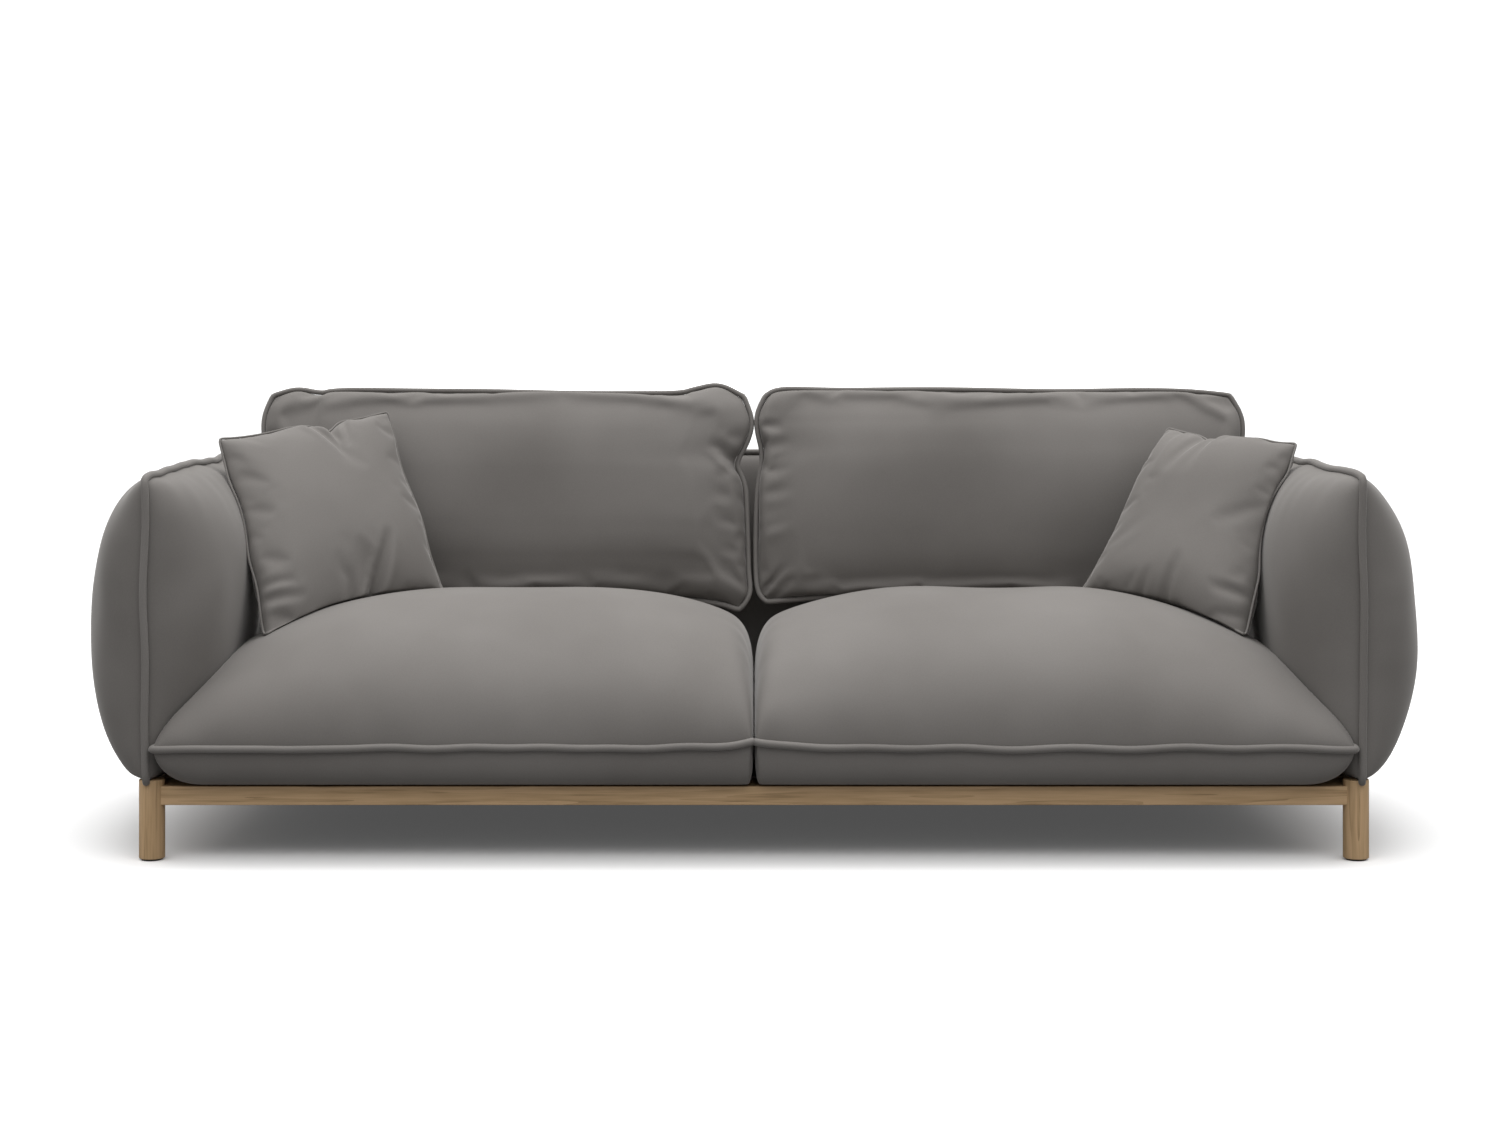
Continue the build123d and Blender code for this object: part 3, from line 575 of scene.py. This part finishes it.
def make_back_cushion(side, sign, seed):
    edges = CUSHION_EDGES[side]

    def arch(span, power):
        return lambda t: np.stack([span * t, CUSHION_ARCH * np.sqrt(1 - np.abs(2 * t - 1) ** power)], -1)

    along_u = even_steps(arch(CUSHION_SPAN[0], 6), GRID)
    along_v = even_steps(arch(CUSHION_SPAN[1], 2.6), GRID)
    rows = catmull(edges["bottom"], along_u), catmull(edges["top"], along_u)
    columns = catmull(edges["first"], along_v), catmull(edges["last"], along_v)
    u, v = np.meshgrid(along_u, along_v, indexing="ij")
    inset = CUSHION_WELT_INSET * np.stack([1 - 2 * u, 1 - 2 * v], -1)
    plane = coons(*rows, *columns, along_u, along_v) + inset
    a, b = plane[..., 0], plane[..., 1]
    crown = np.clip((1 - np.abs(2 * u - 1) ** 6) * (1 - np.abs(2 * v - 1) ** 2.15), 0, None) ** 0.52
    sway = 0.005 * wander(plane, seed, 0.35)
    edge = (u < 1e-6) | (u > 1 - 1e-6) | (v < 1e-6) | (v > 1 - 1e-6)
    side_gap = CUSHION_SPAN[0] * np.minimum(u, 1 - u)
    end_gap = CUSHION_SPAN[1] * np.minimum(v, 1 - v)
    gathers = pucker(plane, b, side_gap, seed + 1, *CUSHION_SIDE_GATHERS)
    gathers = gathers + pucker(plane, a, end_gap, seed + 2, *CUSHION_END_GATHERS)
    sunk = creases(plane, CUSHION_CREASES[side])
    panels = []
    for face in (1, -1):
        relief = np.where(edge, 0, gathers - (sunk if face > 0 else 0))
        out = face * (crown * (CUSHION_HALF_THICK - CUSHION_SWELL_ROOM) + relief) + sway
        panels.append(cushion_point(a, b, out) * [sign, 1, 1])
    cover, rim = two_panels("back_cushion_" + side, *panels)
    inflate(cover, rim, pressure=2.5, growth=0.006, cap=0.014, bending=3.0)
    points = coordinates(cover.data)
    rest_on_seat(points)
    set_coordinates(cover, points)
    path = coordinates(cover.data)[rim]
    subdivide(cover)
    path = spread(resample(relax(path, 3), 0.005), 0.95 * CUSHION_WELT_RADIUS)
    welt = tube("back_piping_" + side, path, CUSHION_WELT_RADIUS)
    return cover, welt


# ---------------------------------------------------------------- back pad
def make_back_pad():
    half_x = BACK_HIGH[0]
    plane_y = (BACK_WELT_LOW[1] + BACK_WELT_HIGH[1]) / 2
    low, high = BACK_LOW[2], BACK_HIGH[2]

    def back_depth(u, v):
        return (BACK_HIGH[1] - plane_y) * np.sqrt((1 - np.abs(u) ** 9) * (1 - np.abs(v) ** 2.6))

    def front_depth(u, v):
        rise = np.clip((v + 1) / 2, 0, 1)
        lean = 1 - 0.62 * smooth_step((rise - 0.45) / 0.7)
        return (plane_y - BACK_LOW[1]) * lean * np.sqrt((1 - np.abs(u) ** 12) * (1 - np.abs(v) ** 6))

    def across(t):
        return np.stack([2 * half_x * t, back_depth(2 * t - 1, 0 * t)], -1)

    def upwards(t):
        return np.stack([(high - low) * t, back_depth(0 * t, 2 * t - 1)], -1)

    along_u = 2 * even_steps(across, BACK_GRID) - 1
    along_v = 2 * even_steps(upwards, BACK_GRID) - 1
    u, v = np.meshgrid(along_u, along_v, indexing="ij")
    round_u, round_v = rounded_corners(u, v, *BACK_CORNERS)
    x, z = half_x * round_u, (low + high) / 2 + (high - low) / 2 * round_v
    place = np.stack([half_x * u, z], -1)
    panels = []
    for depth, face, seed in ((front_depth, -1, 71), (back_depth, 1, 72)):
        bulge = depth(u, v)
        bulge = bulge + 0.0015 * wander(place, seed, 0.4) * np.minimum(1, bulge / 0.05)
        edge_z = (high - low) / 2 * (1 - np.abs(v))
        bulge = bulge + pucker(place, half_x * u, edge_z, seed + 3, *BACK_GATHERS)
        edge = (np.abs(u) > 0.9999) | (np.abs(v) > 0.9999)
        y = plane_y + face * np.where(edge, 0, bulge)
        room = np.minimum(arm_inner_face(y, z), ARM_PLANE - WELT_RADIUS) - CLEARANCE
        panels.append(np.stack([x + u**9 * (room - half_x), y, z], -1))
    cover, rim = two_panels("back_pad", *panels)
    path = coordinates(cover.data)[rim]
    subdivide(cover)
    welt = tube("back_pad_piping", spread(resample(relax(path, 4), 0.008), 0.75 * WELT_RADIUS), WELT_RADIUS)
    return cover, welt


# ---------------------------------------------------------------- throw pillows
# Corners of the seam, in order: lower outer, lower inner, upper inner, upper outer.
PILLOW_CORNERS = {
    "left": (
        (0.893, -0.240, 0.340),
        (0.604, 0.052, 0.420),
        (0.733, 0.190, 0.768),
        (1.022, -0.030, 0.726),
    ),
    "right": (
        (0.892, -0.237, 0.347),
        (0.640, 0.045, 0.420),
        (0.822, 0.180, 0.742),
        (1.041, -0.035, 0.710),
    ),
}
# How far the middle of each seam is pulled in: bottom, inner side, top, outer side.
PILLOW_WAISTS = {"left": (0.006, 0.004, 0.008, 0.003), "right": (0.010, 0.006, 0.010, 0.003)}
# Local dips of the bottom and of the top seam: each is (share from the outer corner, width, depth).
PILLOW_DIPS = {
    "left": (((0.57, 0.07, 0.016), (0.20, 0.08, -0.004)), ((0.61, 0.06, 0.020), (0.42, 0.09, -0.005))),
    "right": (((0.45, 0.10, 0.008), (0.75, 0.08, -0.004)), ((0.60, 0.08, 0.014), (0.25, 0.08, -0.004))),
}
# Creases over the pillow's face: shares from the outer and the lower seam.
PILLOW_CREASES = {
    "left": (
        ((0.48, 1.00), (0.62, 0.76), 0.022, 0.010),
        ((0.60, 1.00), (0.60, 0.80), 0.018, 0.010),
        ((0.70, 1.00), (0.64, 0.84), 0.018, 0.007),
        ((0.57, 0.00), (0.72, 0.36), 0.026, 0.016),
        ((0.45, 0.00), (0.47, 0.20), 0.022, 0.008),
        ((0.02, 0.20), (0.22, 0.16), 0.020, 0.007),
        ((0.02, 0.26), (0.16, 0.24), 0.018, 0.005),
    ),
    "right": (
        ((0.62, 1.00), (0.74, 0.60), 0.030, 0.006),
        ((0.52, 1.00), (0.56, 0.74), 0.024, 0.005),
        ((0.84, 0.95), (0.86, 0.45), 0.034, 0.005),
        ((0.45, 0.00), (0.40, 0.28), 0.024, 0.006),
        ((0.60, 0.00), (0.56, 0.18), 0.022, 0.005),
        ((0.02, 0.22), (0.20, 0.18), 0.020, 0.006),
        ((0.02, 0.12), (0.16, 0.08), 0.018, 0.004),
    ),
}
PILLOW_HALF_THICK = 0.064
PILLOW_SWELL_ROOM = 0.008
PILLOW_FULLER_BACK = 0.7                # how much deeper the back is than the front, at the outer side
PILLOW_POINTS = 56                      # along each seam
PILLOW_SEAM_RADIUS = 0.0023


def back_cushion_face(z):
    """The y of the back cushions' front at a height, away from their edges."""
    middle = CUSHION_FOOT[1] + (z - CUSHION_FOOT[2]) * math.tan(CUSHION_LEAN)
    return middle - CUSHION_HALF_THICK / math.cos(CUSHION_LEAN)


def make_pillow(side, sign, seed):
    low_out, low_in, high_in, high_out = (np.array(c) for c in PILLOW_CORNERS[side])
    share = np.linspace(0, 1, PILLOW_POINTS)
    middle = (low_out + low_in + high_in + high_out) / 4
    waists = PILLOW_WAISTS[side]

    def seam(start, end, pull, wave_seed, dips=()):
        line = start + (end - start) * share[:, None]
        inwards = middle - (start + end) / 2
        inwards /= np.linalg.norm(inwards)
        dip = pull * (1 - np.abs(2 * share - 1) ** 2.2)
        dip = dip + 0.0025 * wander(line, wave_seed, 0.13) * np.sin(math.pi * share)
        for place, width, depth in dips:
            dip = dip + depth * np.exp(-(((share - place) / width) ** 2))
        return line + inwards * dip[:, None]

    grid = coons(
        seam(low_out, low_in, waists[0], seed, PILLOW_DIPS[side][0]),
        seam(high_out, high_in, waists[2], seed + 1, PILLOW_DIPS[side][1]),
        seam(low_out, high_out, waists[3], seed + 2),
        seam(low_in, high_in, waists[1], seed + 3),
        share,
        share,
    )
    normal = np.cross(high_in - low_out, low_in - high_out)
    normal /= np.linalg.norm(normal)
    if normal[1] > 0:
        normal = -normal
    u, v = np.meshgrid(2 * share - 1, 2 * share - 1, indexing="ij")
    crown = (PILLOW_HALF_THICK - PILLOW_SWELL_ROOM) * np.sqrt((1 - np.abs(u) ** 3) * (1 - np.abs(v) ** 3))
    sunk = creases(np.stack([(u + 1) / 2, (v + 1) / 2], -1), PILLOW_CREASES[side])
    sunk = sunk * np.minimum(1, crown / 0.02)
    sway = 0.006 * wander(grid, seed + 4, 0.30)
    depths = crown - sunk, -crown * (1 + PILLOW_FULLER_BACK * smooth_step((0.3 - u) / 1.1))
    panels = [(grid + normal * (sway + depth)[..., None]) * [sign, 1, 1] for depth in depths]
    cover, rim = two_panels("throw_pillow_" + side, *panels)
    inflate(cover, rim, pressure=2.0, growth=0.012, cap=0.014, bending=1.0)
    points = coordinates(cover.data)
    rest_on_seat(points)
    wall = arm_inner_face(points[:, 1], np.minimum(points[:, 2], ARM_TOP)) - CLEARANCE
    wall = np.where(points[:, 2] < ARM_TOP, wall, NO_WALL)
    reach = np.abs(points[:, 0])
    reach = np.where(reach > wall - 0.02, -soft_floor(-reach, -wall, 0.003), reach)
    points[:, 0] = sign * reach
    behind = back_cushion_face(points[:, 2]) - CLEARANCE
    pressed = -soft_floor(-points[:, 1], -behind, 0.004)
    points[:, 1] = np.where(points[:, 1] > behind - 0.02, pressed, points[:, 1])
    set_coordinates(cover, points)
    path = coordinates(cover.data)[rim]
    subdivide(cover)
    seam_line = tube("pillow_seam_" + side, resample(relax(path, 1), 0.004), PILLOW_SEAM_RADIUS, sides=8)
    return cover, seam_line


# ---------------------------------------------------------------- materials
PILE_SHARE = 0.35                       # how much the fine pile adds to the nap's slow shading
OAK_BAND_SCALE = (20.0, 0.8)            # across the grain and along it, as with the pores
OAK_PORE_SCALE = (260.0, 12.0)
OAK_RINGS = 9.0
OAK_GRAIN_SHARE = 0.45
OAK_COLOURS = ((0.30, (0.31, 0.198, 0.100)), (0.55, (0.47, 0.312, 0.166)), (0.95, (0.58, 0.392, 0.220)))


def new_material(name, **sockets):
    material = bpy.data.materials.new(name)
    material.use_nodes = True
    shader = material.node_tree.nodes["Principled BSDF"]
    for socket, value in sockets.items():
        shader.inputs[socket.replace("_", " ")].default_value = value
    return material, material.node_tree, shader


def add(tree, kind, links=(), **values):
    """A new shader node: values set its own properties or sockets, links joins (socket, source output)."""
    node = tree.nodes.new(kind)
    for name, value in values.items():
        if hasattr(node, name):
            setattr(node, name, value)
        else:
            node.inputs[name.replace("_", " ")].default_value = value
    for socket, source in links:
        tree.links.new(source, node.inputs[socket])
    return node


def ramp(tree, source, stops):
    node = add(tree, "ShaderNodeValToRGB", [("Fac", source)])
    elements = node.color_ramp.elements
    while len(elements) < len(stops):
        elements.new(0.5)
    for element, (place, colour) in zip(elements, stops):
        element.position = place
        element.color = (*colour, 1)
    return node.outputs["Color"]


def stretched(tree, scale):
    """The piece's own place in the row frame, stretched per axis."""
    place = add(tree, "ShaderNodeTexCoord").outputs["Object"]
    return add(tree, "ShaderNodeMapping", [("Vector", place)], Scale=scale).outputs["Vector"]


def velvet(name, dark, light, seed):
    """Short-pile fabric: the nap's slow shading, a fine weave under it and sheen at grazing angles."""
    material, tree, shader = new_material(
        name, Roughness=0.86, Sheen_Weight=0.36, Sheen_Roughness=0.28, Sheen_Tint=(0.92, 0.90, 0.88, 1)
    )
    shader.inputs["Specular IOR Level"].default_value = 0.18
    place = stretched(tree, (1, 1, 1))
    moved = add(tree, "ShaderNodeMapping", [("Vector", place)], Location=(seed, seed / 2, -seed))
    shifted = moved.outputs["Vector"]
    nap = add(tree, "ShaderNodeTexNoise", [("Vector", shifted)], Scale=3.2, Detail=3.0, Roughness=0.5)
    pile = add(tree, "ShaderNodeTexNoise", [("Vector", shifted)], Scale=420.0, Detail=2.0, Roughness=0.6)
    terms = [(0, pile.outputs["Fac"]), (2, nap.outputs["Fac"])]
    mixed = add(tree, "ShaderNodeMath", terms, operation="MULTIPLY_ADD")
    mixed.inputs[1].default_value = PILE_SHARE
    colour = ramp(tree, mixed.outputs["Value"], ((0.45, dark), (0.95, light)))
    tree.links.new(colour, shader.inputs["Base Color"])
    bump = add(tree, "ShaderNodeBump", [("Height", pile.outputs["Fac"])], Strength=0.10, Distance=0.0006)
    tree.links.new(bump.outputs["Normal"], shader.inputs["Normal"])
    return material


def oak(name, axis):
    """Light oiled oak with its grain along one axis: growth bands, fine pores and a satin surface."""
    material, tree, shader = new_material(name, Roughness=0.45)
    shader.inputs["Specular IOR Level"].default_value = 0.35
    band_scale = [OAK_BAND_SCALE[0]] * 3
    band_scale[axis] = OAK_BAND_SCALE[1]
    pore_scale = [OAK_PORE_SCALE[0]] * 3
    pore_scale[axis] = OAK_PORE_SCALE[1]
    bent = add(tree, "ShaderNodeTexNoise", [("Vector", stretched(tree, band_scale))], Scale=1.0, Detail=3.0)
    rings = add(tree, "ShaderNodeMath", [(0, bent.outputs["Fac"])], operation="MULTIPLY")
    rings.inputs[1].default_value = OAK_RINGS
    wave = add(tree, "ShaderNodeMath", [(0, rings.outputs["Value"])], operation="FRACT")
    pores = add(tree, "ShaderNodeTexNoise", [("Vector", stretched(tree, pore_scale))], Scale=1.0, Detail=2.0)
    grain = add(tree, "ShaderNodeMath", [(0, wave.outputs["Value"])], operation="MULTIPLY")
    grain.inputs[1].default_value = OAK_GRAIN_SHARE
    terms = [(0, pores.outputs["Fac"]), (1, grain.outputs["Value"])]
    both = add(tree, "ShaderNodeMath", terms, operation="ADD")
    tree.links.new(ramp(tree, both.outputs["Value"], OAK_COLOURS), shader.inputs["Base Color"])
    bump = add(tree, "ShaderNodeBump", [("Height", pores.outputs["Fac"])], Strength=0.18, Distance=0.0004)
    tree.links.new(bump.outputs["Normal"], shader.inputs["Normal"])
    return material


def mottled(name, dark, light, scale, roughness, metallic=0.0, bump_depth=0.0002, stretch=(1, 1, 1)):
    """A plain material with the small colour and surface changes of the real one."""
    material, tree, shader = new_material(name, Roughness=roughness, Metallic=metallic)
    noise = add(tree, "ShaderNodeTexNoise", [("Vector", stretched(tree, stretch))], Scale=scale, Detail=4.0)
    colour = ramp(tree, noise.outputs["Fac"], ((0.35, dark), (0.7, light)))
    tree.links.new(colour, shader.inputs["Base Color"])
    bump = add(tree, "ShaderNodeBump", [("Height", noise.outputs["Fac"])], Strength=0.3, Distance=bump_depth)
    tree.links.new(bump.outputs["Normal"], shader.inputs["Normal"])
    return material


def woven(name, dark, light, pitch, roughness=0.85):
    """A woven band or net: two crossed sets of threads."""
    material, tree, shader = new_material(name, Roughness=roughness)
    place = stretched(tree, (1, 1, 1))
    threads = []
    for axis in ("X", "Y"):
        wave = add(tree, "ShaderNodeTexWave", [("Vector", place)], bands_direction=axis, Scale=0.05 / pitch)
        threads.append(wave.outputs["Fac"])
    cross = add(tree, "ShaderNodeMath", [(0, threads[0]), (1, threads[1])], operation="MULTIPLY")
    colour = ramp(tree, cross.outputs["Value"], ((0.1, dark), (0.8, light)))
    tree.links.new(colour, shader.inputs["Base Color"])
    bump = add(tree, "ShaderNodeBump", [("Height", cross.outputs["Value"])], Strength=0.5, Distance=0.0005)
    tree.links.new(bump.outputs["Normal"], shader.inputs["Normal"])
    return material


def finish_cad_nodes():
    """Gives every CAD node that stays in view its own detailed material."""
    front_to_back = oak("oak_front_to_back", 1)
    side_to_side = oak("oak_side_to_side", 0)
    ply = mottled("birch_ply", (0.46, 0.33, 0.20), (0.62, 0.47, 0.31), 14.0, 0.6, stretch=(1, 1, 12))
    spacer_ply = mottled("spacer_ply", (0.40, 0.28, 0.17), (0.55, 0.41, 0.27), 40.0, 0.6)
    felt = mottled("deck_felt", (0.10, 0.095, 0.09), (0.17, 0.16, 0.155), 160.0, 0.95, bump_depth=0.0008)
    # By the start of a node's name: the longest one that fits is taken.
    finishes = {
        "leg": oak("oak_upright", 2),
        "side_rail": front_to_back,
        "centre_beam": front_to_back,
        "front_rail": side_to_side,
        "rear_rail": side_to_side,
        "rail_dowels": mottled("beech", (0.45, 0.30, 0.18), (0.60, 0.43, 0.28), 90.0, 0.55),
        "leg_glides": mottled("glide_nylon", (0.035, 0.034, 0.033), (0.06, 0.058, 0.055), 300.0, 0.4),
        "arm_board": ply,
        "back_board": ply,
        "arm_spacers": spacer_ply,
        "back_spacers": spacer_ply,
        "webbing_tacks": mottled("tack_steel", (0.30, 0.30, 0.30), (0.5, 0.5, 0.5), 200.0, 0.4, 1.0),
        "webbing": woven("jute_webbing", (0.10, 0.075, 0.05), (0.42, 0.33, 0.22), 0.0025),
        "deck_pad": felt,
        "dust_cover": woven("dust_cloth", (0.015, 0.015, 0.015), (0.045, 0.044, 0.043), 0.0018),
        "seat_zip_tape": woven("zip_tape", (0.06, 0.058, 0.055), (0.13, 0.125, 0.12), 0.0015),
    }
    steel = mottled("zinc_steel", (0.42, 0.42, 0.41), (0.62, 0.62, 0.60), 120.0, 0.35, 1.0)
    for name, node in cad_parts.items():
        if node.hide_render:
            continue
        fitting = [key for key in finishes if name.startswith(key)]
        chosen = finishes[max(fitting, key=len)] if fitting else steel
        node.data.materials.clear()
        node.data.materials.append(chosen)


# ---------------------------------------------------------------- putting it together
def dress(piece, material, body, nodes):
    piece.data.materials.clear()
    piece.data.materials.append(material)
    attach(piece, body)
    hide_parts(*nodes)


CLOTH = velvet("grey_velvet", (0.158, 0.148, 0.139), (0.200, 0.189, 0.179), 0.0)
# The welts and pillow seams are the same velvet as the covers, made lighter here: painted highlight standing
# in for the sheen along their rims.
PIPING_PAINTED_HIGHLIGHT = velvet("grey_velvet_piping_painted_highlight", (0.165, 0.155, 0.146), (0.215, 0.203, 0.193), 4.0)
# Each piece's folds come from a seed of its own.
ARM_SEED, SEAT_SEED, CUSHION_SEED, PILLOW_SEED = 11, 21, 31, 41
SIDE_SEEDS = 40

for number, (side, sign) in enumerate(SIDES):
    more = SIDE_SEEDS * number
    arm, arm_welt = make_arm(side, sign, ARM_SEED + more)
    dress(arm, CLOTH, "frame", ["arm_cover_" + side, "arm_foam_" + side])
    dress(arm_welt, PIPING_PAINTED_HIGHLIGHT, "frame", ["arm_welt_" + side])
    seat, seat_welt = make_seat(side, sign, SEAT_SEED + more)
    dress(seat, CLOTH, "seat_cushion_" + side, ["seat_cover_" + side, "seat_core_" + side])
    dress(seat_welt, PIPING_PAINTED_HIGHLIGHT, "seat_cushion_" + side, ["seat_welt_" + side])
    cushion, cushion_welt = make_back_cushion(side, sign, CUSHION_SEED + more)
    soft = ["back_cushion_cover_" + side, "back_cushion_core_" + side]
    dress(cushion, CLOTH, "back_cushion_" + side, soft)
    dress(cushion_welt, PIPING_PAINTED_HIGHLIGHT, "back_cushion_" + side, ["back_cushion_welt_" + side])
    pillow, pillow_seam = make_pillow(side, sign, PILLOW_SEED + more)
    soft = ["pillow_cover_" + side, "pillow_insert_" + side]
    dress(pillow, CLOTH, "throw_pillow_" + side, soft)
    dress(pillow_seam, PIPING_PAINTED_HIGHLIGHT, "throw_pillow_" + side, [])

back_pad, back_welt = make_back_pad()
dress(back_pad, CLOTH, "frame", ["back_cover", "back_foam"])
dress(back_welt, PIPING_PAINTED_HIGHLIGHT, "frame", ["back_welt"])
finish_cad_nodes()


# ---------------------------------------------------------------- stage, light and camera
FLOOR_HALF = 40
FLOOR_SHADE = 0.20                      # as light bounces off it
FLOOR_SEEN_SHADE = 0.90                 # as the camera sees it
FLOOR_GLOW = 0.07
SKY_STOPS = ((0.15, 0.07), (0.5, 0.24), (0.8, 0.70), (1.0, 1.0))
SKY_STRENGTH = 2.45
# Each light: its place, what it points at, its size and its power.
LIGHTS = {
    "overhead": ((0, 0.5, 3.6), (0, 0, 0), (4.5, 2.0), 60),
    "front_key": ((0, -3.4, 3.9), (0, 0.1, 0.5), (5.0, 2.5), 25),
}
CAMERA_PLACE = (0, -4.914, 0.909)
CAMERA_LENS = 61.24
CAMERA_SHIFT = (-0.003, -0.1474)
WHITE = (1, 1, 1, 1)


def grey(shade):
    return shade, shade, shade


def make_floor():
    mesh = bpy.data.meshes.new("floor")
    signs = ((-1, -1), (1, -1), (1, 1), (-1, 1))
    mesh.from_pydata([(x * FLOOR_HALF, y * FLOOR_HALF, 0) for x, y in signs], [], [(0, 1, 2, 3)])
    floor = bpy.data.objects.new("floor", mesh)
    bpy.context.scene.collection.objects.link(floor)
    material, tree, shader = new_material("pale_floor", Roughness=0.9)
    shade = add(tree, "ShaderNodeMix", data_type="RGBA")
    tree.links.new(add(tree, "ShaderNodeLightPath").outputs["Is Camera Ray"], shade.inputs[0])
    shade.inputs[6].default_value = (*grey(FLOOR_SHADE), 1)
    shade.inputs[7].default_value = (*grey(FLOOR_SEEN_SHADE), 1)
    tree.links.new(shade.outputs[2], shader.inputs["Base Color"])
    shader.inputs["Specular IOR Level"].default_value = 0.0
    shader.inputs["Emission Color"].default_value = WHITE
    shader.inputs["Emission Strength"].default_value = FLOOR_GLOW
    mesh.materials.append(material)


def area_light(name, place, aim, size, power):
    data = bpy.data.lights.new(name, "AREA")
    data.shape = "RECTANGLE"
    data.size, data.size_y = size
    data.energy = power
    light = bpy.data.objects.new(name, data)
    light.location = place
    direction = np.array(aim, float) - np.array(place, float)
    light.rotation_euler = Vector(direction).to_track_quat("-Z", "Y").to_euler()
    bpy.context.scene.collection.objects.link(light)


def make_sky():
    """A pale studio dome, and plain white wherever the camera sees it."""
    world = bpy.data.worlds.new("studio")
    world.use_nodes = True
    tree = world.node_tree
    background = tree.nodes["Background"]
    direction = add(tree, "ShaderNodeTexCoord").outputs["Generated"]
    upwards = add(tree, "ShaderNodeSeparateXYZ", [("Vector", direction)])
    sky = ramp(tree, upwards.outputs["Z"], [(place, grey(shade)) for place, shade in SKY_STOPS])
    backdrop = add(tree, "ShaderNodeMix", data_type="RGBA")
    tree.links.new(add(tree, "ShaderNodeLightPath").outputs["Is Camera Ray"], backdrop.inputs[0])
    tree.links.new(sky, backdrop.inputs[6])
    backdrop.inputs[7].default_value = WHITE
    tree.links.new(backdrop.outputs[2], background.inputs["Color"])
    background.inputs["Strength"].default_value = SKY_STRENGTH
    bpy.context.scene.world = world


def make_camera():
    camera = bpy.data.cameras.new("camera")
    camera.sensor_width = 36
    camera.lens = CAMERA_LENS
    camera.shift_x, camera.shift_y = CAMERA_SHIFT
    eye = bpy.data.objects.new("camera", camera)
    eye.location = CAMERA_PLACE
    eye.rotation_euler = (math.radians(90), 0, 0)
    bpy.context.scene.collection.objects.link(eye)
    bpy.context.scene.camera = eye


make_floor()
make_sky()
for name, settings in LIGHTS.items():
    area_light(name, *settings)
make_camera()
bpy.context.scene.view_settings.view_transform = "Standard"
